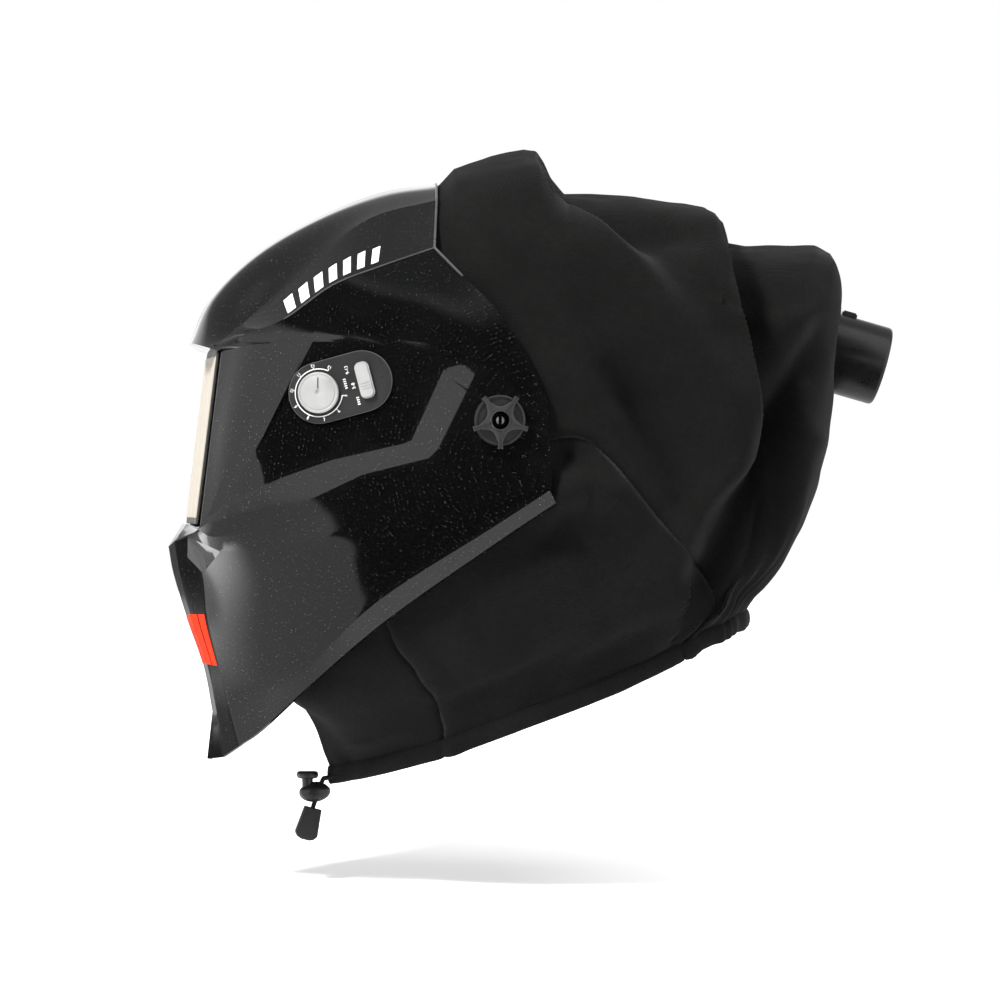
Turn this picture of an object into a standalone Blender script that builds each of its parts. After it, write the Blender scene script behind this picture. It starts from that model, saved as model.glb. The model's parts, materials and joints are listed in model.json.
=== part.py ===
"""Air-fed welding helmet: a flip-up visor on a head harness, a fabric hood sewn round
it, and the air duct that feeds it from a spigot at the back.

Frame: metres, +Z up, the face looks along -Y and the wearer's left is +X. The origin
is the middle of the axis that the visor flips about, between the two pivot knobs.
Lengths in the tables below are millimetres, and MM turns them into metres.
"""

import math

import bmesh
import bpy
from mathutils import Matrix, Vector
from mathutils.geometry import intersect_point_line

MM = 0.001
GAP = 0.3  # clearance that touching pieces keep

# ---- driving dimensions, mm ------------------------------------------------------
SHELL_THICKNESS = 2.5
FABRIC_THICKNESS = 2.4
SEAM_TRIM = 1.5  # how far a sewn edge stops short of its seam
PIVOT_HALF_WIDTH = 117.0  # outer face of the shell at the pivot
PIVOT_HOLE_RADIUS = 6.0
BOLT_RADIUS = 4.0
LENS_CENTRE = (0.0, -160.0, -9.0)
LENS_TILT_DEG = -7.05
LENS_HALF = (55.6, 46.0)
CARTRIDGE = (110.0, 9.0, 90.0)
GLASS = (96.0, 2.0, 48.0)
CAP_RADIUS, CAP_X, CAP_Z = 9.5, 38.0, -35.0  # the battery caps, in the window's frame
HEAD_CENTRE_Y = -2.0
HEAD_HALF = (80.0, 100.0)  # the harness ring: half its width, half its length
DUCT_RADIUS = 116.5  # middle of the crown duct, about the pivot axis
DUCT_SECTION = (60.0, 14.0)
DUCT_WALL = 1.5
DUCT_FRONT_DEG, DUCT_REAR_DEG = 131.0, 50.0
SPIGOT_END = (0.0, 230.6, 32.1)
SPIGOT_TILT_DEG = 16.0
SPIGOT_RADIUS = 22.5
SPIGOT_WALL = 3.0
SPIGOT_LENGTH = 78.0
CORD_RADIUS = 1.2
HEM_RADIUS, HEM_BORE, HEM_DROP = 3.4, 2.0, 5.0  # the drawcord's channel

# ---- the shell's character lines, left half, from the centre plane outwards -------
# Each line has the same eight stations. A line shorter than that is completed by
# blending its two neighbours.
SHELL_LINES = {
    "crown_edge": [(0, -26, 136), (28, -28, 133), (55, -30, 125), (90, -34, 97),
                   (99, -19, 81), (106, -4, 66), (113, 13, 42), (118, 27, 11)],
    "crown": [(0, -58, 131), (27, -60, 127), (53, -67, 115), (88, -63, 87),
              (101, -37, 67), (109, -16, 50), (115, 6, 28), (118, 27, 6)],
    "forehead": [(0, -93, 117), (26, -96, 112), (52, -97, 93), (82, -90, 76),
                 (98, -57, 57), (109, -27, 39), (116, 1, 16), (119, 27, 0)],
    "brow_top": [(0, -127, 97), (26, -130, 91), (52, -127, 66), (74, -116, 57),
                 (93, -73, 48), (107, -35, 31), (116, -2, 8), (119, 27, -6)],
    "brow": [(0, -153, 72), (27, -155, 67), (54, -147, 49), (68, -137, 48)],
    "brow_tip": [(0, -167, 44), (29, -166, 44), (57, -158, 41), (68, -141, 43)],
    "window_top": [(0, -152, 39), (29, -152, 39), (58, -152, 39), (78, -130, 43),
                   (92, -90, 42), (106, -43, 25), (116, -5, 6), (120, 28, -11)],
    "window_middle": [(0, -158, -10), (29, -158, -10), (58, -158, -10), (76, -143, -10),
                      (95, -104, -10), (108, -55, -8), (117, -11, -11), (120, 28, -19)],
    "window_bottom": [(0, -164, -59), (29, -164, -59), (58, -164, -59), (75, -146, -53),
                      (93, -110, -42), (107, -63, -33), (117, -16, -28), (121, 29, -27)],
    "bridge": [(0, -171, -58), (27, -170, -58), (54, -165, -61), (64, -153, -65)],
    "chin_ridge": [(0, -179, -71), (9, -176, -68), (18, -169, -66), (52, -153, -73),
                   (86, -115, -70), (105, -66, -56), (116, -16, -42), (121, 29, -32)],
    "chin_upper": [(0, -176, -87), (9, -173, -86), (24, -161, -86), (48, -146, -90),
                   (80, -112, -87), (102, -66, -68), (116, -14, -47), (121, 29, -35)],
    "chin_middle": [(0, -168, -113), (9, -166, -112), (23, -158, -112), (45, -139, -114),
                    (75, -109, -105), (98, -67, -80), (115, -12, -51), (121, 29, -37)],
    "chin_lower": [(0, -159, -139), (9, -157, -139), (21, -151, -140), (42, -132, -138),
                   (70, -106, -123), (94, -67, -91), (114, -8, -56), (120, 28, -38)],
    "flange": [(0, -154, -165), (9, -152, -165), (20, -145, -165), (38, -128, -158),
               (66, -104, -139), (91, -66, -101), (114, -4, -60), (120, 28, -39)],
    "hem_edge": [(0, -157, -192), (9, -149, -191), (24, -140, -184), (40, -129, -175),
                 (69, -101, -147), (98, -60, -110), (118, 4, -64), (122, 31, -46)],
}
SHARP_LINES = {"brow_tip", "window_top", "window_bottom", "bridge", "chin_ridge", "flange"}
CROWN_LINES = ("crown_edge", "crown", "forehead", "brow_top", "brow", "brow_tip")
CHIN_LINES = ("bridge", "chin_ridge", "chin_upper", "chin_middle", "chin_lower", "flange",
              "hem_edge")
WINDOW_STATIONS = 2  # the lens window runs from the centre plane to this station

# The recess on each side of the shell, as (y, z): its outer rim, and its flat floor.
RECESS_RIM = [(-101, 51), (-35, 43), (-11, 32), (-34, -16), (-39, -21), (-75, -30),
              (-102, -43), (-137, -56), (-160, -61), (-130, -9)]
RECESS_FLOOR = [(-101, 45), (-69, 40), (-31, 29), (-48, -11), (-53, -13), (-92, -22),
                (-120, -32), (-146, -44), (-160, -57), (-130, -9)]
FLOOR_POINTS = [(88, -101, 47), (83, -130, -9), (103.5, -48, -10)]
PANEL_ENDS = [(-98.5, 15.5), (-75, 22)]  # (y, z) of the two ends of the control panel
PANEL_RADIUS = 17.0
MODULE_DEPTH = 12.0

# ---- the hood's cross lines, left half, from the centre plane on top, round the
# side, to the centre plane at the throat. The main seam is at station 5, and the
# throat seam at station 8.
HOOD_LINES = [
    [(0, -40, 124), (50, -42, 114), (83, -43, 87), (95, -27, 73), (109, 13, 24),
     (112, 22, -12), (111, 16, -44), (104, -24, -72), (86, -64, -104),
     (46, -108, -146), (0, -122, -150)],
    [(0, 14, 152), (54, 10, 140), (90, 6, 109), (106, 18, 70), (113, 40, 26),
     (115, 45, -10), (112, 32, -70), (103, -10, -98), (84, -56, -126),
     (46, -100, -157), (0, -112, -157)],
    [(0, 50, 134), (52, 46, 126), (90, 42, 100), (108, 48, 60), (114, 58, 16),
     (113, 62, -21), (109, 40, -84), (100, 2, -112), (82, -46, -139),
     (45, -92, -164), (0, -104, -162)],
    [(0, 92, 128), (56, 90, 119), (90, 84, 92), (106, 84, 48), (110, 84, 4),
     (108, 79, -41), (103, 50, -96), (95, 12, -124), (78, -40, -148),
     (44, -84, -169), (0, -100, -167)],
    [(0, 138, 118), (56, 136, 108), (87, 128, 78), (100, 120, 34), (104, 110, -12),
     (102, 95, -60), (97, 58, -108), (90, 18, -132), (75, -34, -155),
     (43, -78, -174), (0, -97, -172)],
    [(0, 192, 98), (48, 188, 90), (80, 172, 60), (94, 152, 18), (97, 134, -30),
     (95, 112, -78), (91, 66, -118), (84, 22, -138), (71, -31, -161),
     (42, -74, -179), (0, -94, -178)],
    [(0, 204, 32), (48, 200, 24), (78, 184, 2), (89, 164, -28), (90, 146, -60),
     (87, 124, -94), (84, 72, -124), (80, 22, -147), (68, -29, -168),
     (41, -71, -184), (0, -92, -184)],
    [(0, 186, -44), (42, 183, -50), (68, 170, -62), (79, 154, -78), (82, 140, -94),
     (80, 126, -108), (81, 74, -134), (77, 20, -156), (65, -27, -174),
     (38, -68, -188), (0, -90, -190)],
    [(0, 150, -106), (36, 148, -108), (57, 140, -111), (67, 131, -115), (72, 120, -119),
     (75, 108, -126), (79, 66, -145), (75, 16, -164), (61, -27, -180),
     (36, -66, -192), (0, -87, -197)],
]
MAIN_SEAM, THROAT_SEAM = 5, 8


# ---- small tools -----------------------------------------------------------------
def clear_scene():
    for obj in list(bpy.data.objects):
        bpy.data.objects.remove(obj, do_unlink=True)


def collection(name):
    made = bpy.data.collections.new(name)
    bpy.context.scene.collection.children.link(made)
    return made


def material(name, colour, roughness, metallic=0.0, alpha=1.0):
    made = bpy.data.materials.new(name)
    made.use_nodes = True
    shader = made.node_tree.nodes["Principled BSDF"]
    shader.inputs["Base Color"].default_value = (*colour, 1.0)
    shader.inputs["Roughness"].default_value = roughness
    shader.inputs["Metallic"].default_value = metallic
    shader.inputs["Alpha"].default_value = alpha
    return made


def place(name, mesh, look, matrix=None, smooth_deg=35.0):
    """A new object of the helmet, with its material, in its collection."""
    obj = bpy.data.objects.new(name, mesh)
    HELMET.objects.link(obj)
    if look:
        mesh.materials.append(look)
    mesh.shade_smooth()
    mesh.set_sharp_from_angle(angle=math.radians(smooth_deg))
    if matrix:
        obj.matrix_world = matrix
    return obj


def mesh_of(bm, name):
    bmesh.ops.recalc_face_normals(bm, faces=bm.faces)
    mesh = bpy.data.meshes.new(name)
    bm.to_mesh(mesh)
    bm.free()
    return mesh


def cutter(name, mesh, matrix=None):
    obj = bpy.data.objects.new(name, mesh)
    CUTTERS.objects.link(obj)
    obj.matrix_world = matrix or Matrix()
    obj.hide_render = True
    obj.display_type = "WIRE"
    return obj


def boolean(obj, other, operation="DIFFERENCE"):
    modifier = obj.modifiers.new(other.name, "BOOLEAN")
    modifier.operation = operation
    modifier.object = other
    modifier.solver = "EXACT"


def box_mesh(name, size, bevel=0.0):
    """A box centred on the origin, size in mm, with its edges rounded by bevel mm."""
    bm = bmesh.new()
    bmesh.ops.create_cube(bm, size=1.0)
    bmesh.ops.scale(bm, vec=Vector(size) * MM, verts=bm.verts)
    if bevel:
        bmesh.ops.bevel(bm, geom=bm.edges[:], offset=bevel * MM, segments=1, affect="EDGES")
    return mesh_of(bm, name)


def cylinder_mesh(name, radius, depth, sides=32, top_radius=None):
    bm = bmesh.new()
    top = radius if top_radius is None else top_radius
    bmesh.ops.create_cone(bm, cap_ends=True, segments=sides, radius1=radius * MM,
                          radius2=top * MM, depth=depth * MM)
    return mesh_of(bm, name)


def turned(name, profile, look, matrix, steps=40):
    """A closed profile of (radius, height) in mm, turned about local Z."""
    bm = bmesh.new()
    points = [bm.verts.new((r * MM, 0.0, z * MM)) for r, z in profile]
    for first, second in zip(points, points[1:] + points[:1]):
        bm.edges.new((first, second))
    bmesh.ops.spin(bm, geom=bm.verts[:] + bm.edges[:], cent=(0, 0, 0), axis=(0, 0, 1),
                   angle=2 * math.pi, steps=steps, use_merge=True)
    bmesh.ops.remove_doubles(bm, verts=bm.verts, dist=1e-6)
    return place(name, mesh_of(bm, name), look, matrix)


def ring_profile(inner, outer, low, high):
    return [(inner, low), (outer, low), (outer, high), (inner, high)]


def outline_solid(name, outline, depth, look, matrix, bevel=0.0):
    """A flat closed outline of (x, y) in mm, standing from local Z 0 up to depth."""
    bm = bmesh.new()
    face = bm.faces.new([bm.verts.new((x * MM, y * MM, 0.0)) for x, y in outline])
    raised = bmesh.ops.extrude_face_region(bm, geom=[face])["geom"]
    moved = [item for item in raised if isinstance(item, bmesh.types.BMVert)]
    bmesh.ops.translate(bm, vec=(0, 0, depth * MM), verts=moved)
    if bevel:
        rim = [edge for edge in bm.edges if all(v.co.z > 1e-6 for v in edge.verts)]
        bmesh.ops.bevel(bm, geom=rim, offset=bevel * MM, segments=2, affect="EDGES")
    mesh = mesh_of(bm, name)
    return place(name, mesh, look, matrix) if look else cutter(name, mesh, matrix)


def stadium(radius, half_span, sides=12):
    """The outline of a slot with round ends, half_span from its middle to each centre."""
    points = []
    for end, start in ((1, -90), (-1, 90)):
        for step in range(sides + 1):
            angle = math.radians(start + 180 * step / sides)
            points.append((end * half_span + radius * math.cos(angle),
                           radius * math.sin(angle)))
    return points


def frame_ring(name, outer, inner, y_low, y_high, look, matrix):
    """A rectangular ring: outer and inner are (half width, half height), along local Y."""
    ring = place(name, box_mesh(name, (2 * outer[0], y_high - y_low, 2 * outer[1])), look,
                 matrix @ Matrix.Translation((0, (y_low + y_high) / 2 * MM, 0)))
    hole = cutter(name + "_hole", box_mesh(name, (2 * inner[0], 40, 2 * inner[1])), matrix)
    boolean(ring, hole)
    return ring


def wire(name, points, radius, look, sides=1):
    """A smooth tube through points in mm, with closed ends."""
    curve = bpy.data.curves.new(name, "CURVE")
    curve.dimensions = "3D"
    curve.bevel_depth = radius * MM
    curve.bevel_resolution = sides
    curve.use_fill_caps = True
    path = curve.splines.new("POLY")
    path.points.add(len(points) - 1)
    for target, point in zip(path.points, points):
        target.co = (*(Vector(point) * MM), 1.0)
    curve.materials.append(look)
    obj = bpy.data.objects.new(name, curve)
    HELMET.objects.link(obj)
    return obj


def along(axis, at):
    """A matrix that stands local Z along axis, at a point in mm."""
    turn = Vector(axis).to_track_quat("Z", "Y").to_matrix().to_4x4()
    return Matrix.Translation(Vector(at) * MM) @ turn


def catmull(before, start, end, after, t):
    """A point of the cubic that passes smoothly through start and end."""
    return 0.5 * (2 * start + (end - before) * t
                  + (2 * before - 5 * start + 4 * end - after) * t * t
                  + (3 * start - before - 3 * end + after) * t ** 3)


def smooth_line(points, per_span, sharp=()):
    """A curve through points, with per_span steps between two and corners at sharp."""
    line = []
    last = len(points) - 1
    for i in range(last):
        start, end = points[i], points[i + 1]
        before = 2 * start - end if i == 0 or i in sharp else points[i - 1]
        after = 2 * end - start if i + 1 == last or i + 1 in sharp else points[i + 2]
        line += [catmull(before, start, end, after, k / per_span) for k in range(per_span)]
    return line + [points[-1]]


# ---- the shell -------------------------------------------------------------------
def full_lines():
    """Every character line with all its stations."""
    names = list(SHELL_LINES)
    whole = {name: [Vector(p) for p in points] for name, points in SHELL_LINES.items()}
    short = [name for name in names if len(whole[name]) < 8]
    for name in short:
        at = names.index(name)
        above = max(i for i in range(at) if names[i] not in short)
        below = min(i for i in range(at, len(names)) if names[i] not in short)
        share = (at - above) / (below - above)
        for station in range(len(whole[name]), 8):
            ends = whole[names[above]][station], whole[names[below]][station]
            whole[name].append(ends[0].lerp(ends[1], share))
    return whole


def sharp_stations(name):
    if name in CROWN_LINES:
        return {2, 3}
    return {1, 2} if name in CHIN_LINES else {2}


def shell_grid(across, down):
    """Rows of points over the left half of the shell, and the rows that bound the window."""
    lines = full_lines()
    names = list(lines)
    rows = [smooth_line(lines[name], across, sharp_stations(name)) for name in names]
    sharp = {names.index(name) for name in SHARP_LINES}
    columns = [smooth_line([row[c] for row in rows], down, sharp)
               for c in range(len(rows[0]))]
    window = [names.index(name) * down for name in ("window_top", "window_bottom")]
    return [[column[r] for column in columns] for r in range(len(columns[0]))], window


def inside(point, outline):
    """Whether a 2D point is inside a closed outline."""
    found = False
    for (y1, z1), (y2, z2) in zip(outline, outline[1:] + outline[:1]):
        if (z1 > point[1]) != (z2 > point[1]):
            found ^= point[0] < (y2 - y1) * (point[1] - z1) / (z2 - z1) + y1
    return found


def distance_to(point, outline):
    nearest = math.inf
    here = Vector((*point, 0))
    for start, end in zip(outline, outline[1:] + outline[:1]):
        a, b = Vector((*start, 0)), Vector((*end, 0))
        spot, share = intersect_point_line(here, a, b)
        spot = a if share < 0 else b if share > 1 else spot
        nearest = min(nearest, (here - spot).length)
    return nearest


def floor_plane():
    """The recess floor's point and its outward normal."""
    a, b, c = (Vector(p) for p in FLOOR_POINTS)
    normal = (b - a).cross(c - a).normalized()
    return a, normal if normal.x > 0 else -normal


def floor_x(y, z):
    at, normal = floor_plane()
    return at.x - (normal.y * (y - at.y) + normal.z * (z - at.z)) / normal.x


def sink_recess(bm):
    """Cuts the half shell along the recess's edges, and drops what is inside to its floor."""
    for outline in (RECESS_RIM, RECESS_FLOOR):
        for (y1, z1), (y2, z2) in zip(outline, outline[1:] + outline[:1]):
            low_y, high_y = min(y1, y2) - 4, max(y1, y2) + 4
            low_z, high_z = min(z1, z2) - 4, max(z1, z2) + 4
            near = [f for f in bm.faces if any(
                low_y < v.co.y < high_y and low_z < v.co.z < high_z for v in f.verts)]
            geom = set(near)
            for face in near:
                geom.update(face.edges)
                geom.update(face.verts)
            bmesh.ops.bisect_plane(bm, geom=list(geom), dist=0.02, plane_co=(0, y1, z1),
                                   plane_no=(0, z2 - z1, y1 - y2))
    for vert in bm.verts:
        spot = (vert.co.y, vert.co.z)
        rim = distance_to(spot, RECESS_RIM)
        if vert.co.x < 40 or not inside(spot, RECESS_RIM) or rim < 0.05:
            continue
        floor = 0.0 if inside(spot, RECESS_FLOOR) else distance_to(spot, RECESS_FLOOR)
        depth = max(0.0, vert.co.x - floor_x(*spot))
        vert.co.x -= depth * rim / (rim + floor)


def half_shell_mesh(across, down):
    """The left half of the shell as an open surface, in metres."""
    rows, (top, bottom) = shell_grid(across, down)
    bm = bmesh.new()
    points = [[bm.verts.new(p) for p in row] for row in rows]
    opening = WINDOW_STATIONS * across
    for r in range(len(rows) - 1):
        for c in range(len(rows[0]) - 1):
            if top <= r < bottom and c < opening:
                continue
            bm.faces.new((points[r][c], points[r + 1][c], points[r + 1][c + 1],
                          points[r][c + 1]))
    loose = [v for v in bm.verts if not v.link_faces]
    bmesh.ops.delete(bm, geom=loose, context="VERTS")
    sink_recess(bm)
    for vert in bm.verts:
        if abs(vert.co.x) < 0.01:
            vert.co.x = 0.0
    bmesh.ops.dissolve_degenerate(bm, dist=0.02, edges=bm.edges)
    bmesh.ops.scale(bm, vec=(MM, MM, MM), verts=bm.verts)
    return mesh_of(bm, "visor_shell")


def make_visor_shell():
    mesh = half_shell_mesh(across=2, down=1)
    # Outward is away from the head, so the normals are turned if they point in.
    widest = max(mesh.polygons, key=lambda p: p.center.x)
    if widest.normal.x < 0:
        mesh.flip_normals()
    shell = place("visor_shell", mesh, GLOSS_BLACK)
    mirror = shell.modifiers.new("both_halves", "MIRROR")
    mirror.merge_threshold = 1e-5
    wall = shell.modifiers.new("wall", "SOLIDIFY")
    wall.thickness = SHELL_THICKNESS * MM
    wall.offset = -1.0
    pivot_hole = cutter("pivot_hole", cylinder_mesh("pivot_hole", PIVOT_HOLE_RADIUS, 280),
                        along((1, 0, 0), (0, 0, 0)))
    boolean(shell, pivot_hole)
    control_hole = outline_solid("control_hole", stadium(PANEL_RADIUS - 4, panel_half_span()),
                                 24, None, panel_matrix(-12))
    boolean(shell, control_hole)
    return shell


# ---- the window and its filter ---------------------------------------------------
def lens_matrix(x=0.0, y=0.0, z=0.0):
    """The window's own frame: local Y runs inwards, through the window."""
    tilt = Matrix.Rotation(math.radians(LENS_TILT_DEG), 4, "X")
    return (Matrix.Translation(Vector(LENS_CENTRE) * MM) @ tilt
            @ Matrix.Translation(Vector((x, y, z)) * MM))


def lens_plate(name, size, y_front, look, x=0.0, z=0.0, bevel=0.0):
    return place(name, box_mesh(name, size, bevel), look,
                 lens_matrix(x, y_front + size[1] / 2, z))


def make_filter():
    width, height = LENS_HALF
    lens_plate("front_cover_lens", (2 * width, 1.5, 2 * height), -0.3, LENS_GOLD)
    frame_ring("lens_gasket", (width + 1.9, height + 1.6), (width + GAP, height + GAP),
               -1.2, 0.1, SOFT_BLACK, lens_matrix())
    frame_ring("filter_holder", (54.0, 46.5), (48.5, 25.5), 1.6, 3.4, SATIN_BLACK,
               lens_matrix())
    seat = 3.4 + GAP
    cartridge = lens_plate("filter_cartridge", CARTRIDGE, seat, SATIN_BLACK, bevel=1.0)
    glass_z = -2.0
    recess = cutter("glass_recess", box_mesh("glass_recess", (97, 6, 49)),
                    lens_matrix(0, seat - 0.4, glass_z))
    window = cutter("glass_window", box_mesh("glass_window", (90, 30, 42)),
                    lens_matrix(0, seat + 6, glass_z))
    cell_recess = cutter("cell_recess", box_mesh("cell_recess", (61, 4, 9)),
                         lens_matrix(0, seat, 35))
    for helper in (recess, window, cell_recess):
        boolean(cartridge, helper)
    facing = Matrix.Rotation(-math.pi / 2, 4, "X")  # stands local Z along the lens's Y
    back = seat + CARTRIDGE[1]
    for side, sign in (("left", 1), ("right", -1)):
        pocket = cutter(f"sensor_pocket_{side}", cylinder_mesh("pocket", 4.4, 4, 20),
                        lens_matrix(sign * 42, seat, 35) @ facing)
        boolean(cartridge, pocket)
        place(f"arc_sensor_{side}", cylinder_mesh("sensor", 4.0, 1.4, 20), LENS_GOLD,
              lens_matrix(sign * 42, seat + 0.9, 35) @ facing)
        well = cutter(f"battery_well_{side}", cylinder_mesh("well", CAP_RADIUS + GAP, 8, 28),
                      lens_matrix(sign * CAP_X, back, CAP_Z) @ facing)
        boolean(cartridge, well)
        cap = turned(f"battery_cap_{side}",
                     [(0.0, -2.4), (CAP_RADIUS, -2.4), (CAP_RADIUS, 0.2),
                      (CAP_RADIUS - 0.6, 0.8), (0.0, 0.8)],
                     SOFT_BLACK, lens_matrix(sign * CAP_X, back, CAP_Z) @ facing, steps=28)
        coin_slot = cutter(f"coin_slot_{side}", box_mesh("slot", (12.0, 2.0, 2.4)),
                           lens_matrix(sign * CAP_X, back + 0.8, CAP_Z) @ facing)
        boolean(cap, coin_slot)
    lens_plate("filter_glass", GLASS, seat + 0.3, GREEN_GLASS, z=glass_z)
    lens_plate("solar_cell", (60, 1.2, 8), seat + 0.4, SOLAR_BLUE, z=35)
    lens_plate("inner_cover_lens", (104, 1, 46), back + GAP, CLEAR_PLASTIC, z=glass_z)
    hook = [(2.8, 46.9), (13.6, 46.9), (13.6, 36.0), (15.6, 36.0), (15.6, 48.9), (2.8, 48.9)]
    across = Matrix(((0, 0, 1), (1, 0, 0), (0, 1, 0))).to_4x4()
    outline_solid("holder_latch", hook, 20.0, SATIN_BLACK, lens_matrix(-10.0) @ across)


# ---- the controls in the left recess ---------------------------------------------
def panel_point(y, z):
    return Vector((floor_x(y, z), y, z))


def panel_half_span():
    ends = [panel_point(*end) for end in PANEL_ENDS]
    return (ends[1] - ends[0]).length / 2


def panel_matrix(lift=0.0, share=0.5, tilt_deg=0.0):
    """The panel's frame: local X towards its rear end, local Z outwards, share along it."""
    ends = [panel_point(*end) for end in PANEL_ENDS]
    _, out = floor_plane()
    run = (ends[1] - ends[0]).normalized()
    turn = Matrix((run, out.cross(run), out)).transposed().to_4x4()
    middle = ends[0].lerp(ends[1], share)
    return (Matrix.Translation((middle + out * lift) * MM) @ turn
            @ Matrix.Rotation(math.radians(tilt_deg), 4, "Z"))


def make_controls():
    span = panel_half_span()
    panel = outline_solid("control_panel", stadium(PANEL_RADIUS, span), 2.0, SATIN_BLACK,
                          panel_matrix(0.6), bevel=0.5)
    shaft_hole = cutter("dial_shaft_hole", cylinder_mesh("hole", 3.4, 12),
                        panel_matrix(0, 0.0))
    slot = cutter("slider_slot", box_mesh("slot", (4.0, 15.0, 12)),
                  panel_matrix(0, 1.0))
    boolean(panel, shaft_hole)
    boolean(panel, slot)
    module = outline_solid("control_module", stadium(PANEL_RADIUS - 5, span), MODULE_DEPTH,
                           SATIN_BLACK, panel_matrix(-MODULE_DEPTH - SHELL_THICKNESS))
    sink = cutter("module_sink", cylinder_mesh("sink", 3.4, 8),
                  panel_matrix(-SHELL_THICKNESS, 0.0))
    slot_sink = cutter("slider_sink", box_mesh("sink", (4.0, 15.0, 6)),
                       panel_matrix(-SHELL_THICKNESS, 1.0))
    boolean(module, sink)
    boolean(module, slot_sink)
    top = 2.6 + GAP
    turned("shade_dial", [(0.0, -3.0), (3.0, -3.0), (3.0, top), (11.6, top), (11.6, top + 2.2),
                          (10.8, top + 3.0), (0.0, top + 3.0)],
           DIAL_WHITE, panel_matrix(0, 0.0))
    slider = outline_solid("mode_slider", stadium(4.1, 6.4), 2.6, DIAL_WHITE,
                           panel_matrix(top, 1.0, 90.0), bevel=0.7)
    stem = cutter("slider_stem", box_mesh("stem", (3.2, 5.0, top + 4.4)),
                  panel_matrix((top - 2.0) / 2, 1.0))
    boolean(slider, stem, "UNION")
    # The lead runs from the module forward to the filter cartridge.
    start = (panel_matrix(-MODULE_DEPTH - SHELL_THICKNESS, 0.0)
             @ Vector((-13.8 * MM, 0, 5 * MM)))
    start = start / MM
    route = [start, start + Vector((-6, -9, 2)), Vector((66, -124, 22)),
             Vector((60, -136, 20)), Vector((54.0 + GAP + 2.6, -147, 18))]
    wire("control_cable", smooth_line(route, 4), 1.5, SOFT_BLACK)


# ---- the pivots ------------------------------------------------------------------
def star_knob_outline(arms=5, reach=16.4, web=9.6, half_arm=2.2):
    points = []
    for arm in range(arms):
        middle = math.radians(360 * arm / arms - 90)
        spread = math.asin(half_arm / reach)
        for angle in (middle - spread, middle + spread):
            points.append((reach * math.cos(angle), reach * math.sin(angle)))
        between = middle + math.pi / arms
        points.append((web * math.cos(between), web * math.sin(between)))
    return points


def make_pivots():
    for side, sign in (("left", 1), ("right", -1)):
        out = (sign, 0, 0)
        face = PIVOT_HALF_WIDTH + 2.2
        knob = turned(f"pivot_knob_{side}",
                      ring_profile(4.0 + GAP, 14.2, 0.0, 5.0), KNOB_PLASTIC,
                      along(out, (sign * face, 0, 0)), steps=24)
        star = outline_solid(f"knob_star_{side}", star_knob_outline(), 6.0, None,
                             along(out, (sign * (face + 2.0), 0, 0)))
        bore = cutter(f"knob_bore_{side}", cylinder_mesh("bore", 4.0 + GAP, 40, 24),
                      along(out, (sign * face, 0, 0)))
        socket = cutter(f"knob_socket_{side}", cylinder_mesh("socket", 5.4, 4, 24),
                        along(out, (sign * (face + 8.0), 0, 0)))
        boolean(knob, star, "UNION")
        boolean(knob, bore)
        boolean(knob, socket)
        bolt = turned(f"pivot_bolt_{side}",
                      [(0.0, 0.0), (9.0, 0.0), (9.0, 2.4), (BOLT_RADIUS, 2.4),
                       (BOLT_RADIUS, 26.0), (BOLT_RADIUS - 0.8, 26.8), (0.0, 26.8)],
                      STEEL, along(out, (sign * 98.0, 0, 0)), steps=24)
        slot = cutter(f"bolt_slot_{side}", box_mesh("slot", (1.2, 9.0, 2.4)),
                      along(out, (sign * 124.6, 0, 0)))
        boolean(bolt, slot)
        arm = place(f"pivot_arm_{side}", box_mesh("arm", (3.0, 34.0, 40.0), 1.0), SATIN_BLACK,
                    Matrix.Translation(Vector((sign * 102.4, 0, 6)) * MM))
        arm_foot = cutter(f"arm_foot_{side}", box_mesh("foot", (17.0, 22.0, 9.0), 1.0),
                          Matrix.Translation(Vector((sign * 94.3, 0, 21.0)) * MM))
        boolean(arm, arm_foot, "UNION")
        arm_hole = cutter(f"arm_hole_{side}", cylinder_mesh("hole", BOLT_RADIUS + GAP, 8, 24),
                          along(out, (sign * 102.4, 0, 0)))
        boolean(arm, arm_hole)
        turned(f"stop_disc_{side}", ring_profile(BOLT_RADIUS + GAP, 17.0, 0.0, 6.0),
               SOFT_BLACK, along(out, (sign * 104.4, 0, 0)), steps=28)


# ---- the head harness ------------------------------------------------------------
def ring_point(angle_deg, grow=0.0, drop=0.0):
    """A point of the harness ring: 0 at the rear, 180 at the forehead, in mm."""
    angle = math.radians(angle_deg)
    level = 35.5 - 20.5 * math.cos(angle)
    return Vector(((HEAD_HALF[0] + grow) * math.sin(angle),
                   HEAD_CENTRE_Y + (HEAD_HALF[1] + grow) * math.cos(angle),
                   level - drop))


def band(name, start_deg, end_deg, height, thickness, look, grow=0.0, drop=0.0, steps=24):
    """A strip of the harness ring, standing on its edge."""
    bm = bmesh.new()
    rows = []
    for step in range(steps + 1):
        middle = ring_point(start_deg + (end_deg - start_deg) * step / steps, grow, drop)
        rows.append([bm.verts.new((middle + Vector((0, 0, side * height / 2))) * MM)
                     for side in (-1, 1)])
    for first, second in zip(rows, rows[1:]):
        bm.faces.new((first[0], second[0], second[1], first[1]))
    strip = place(name, mesh_of(bm, name), look)
    wall = strip.modifiers.new("wall", "SOLIDIFY")
    wall.thickness = thickness * MM
    wall.offset = 0.0
    return strip


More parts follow.
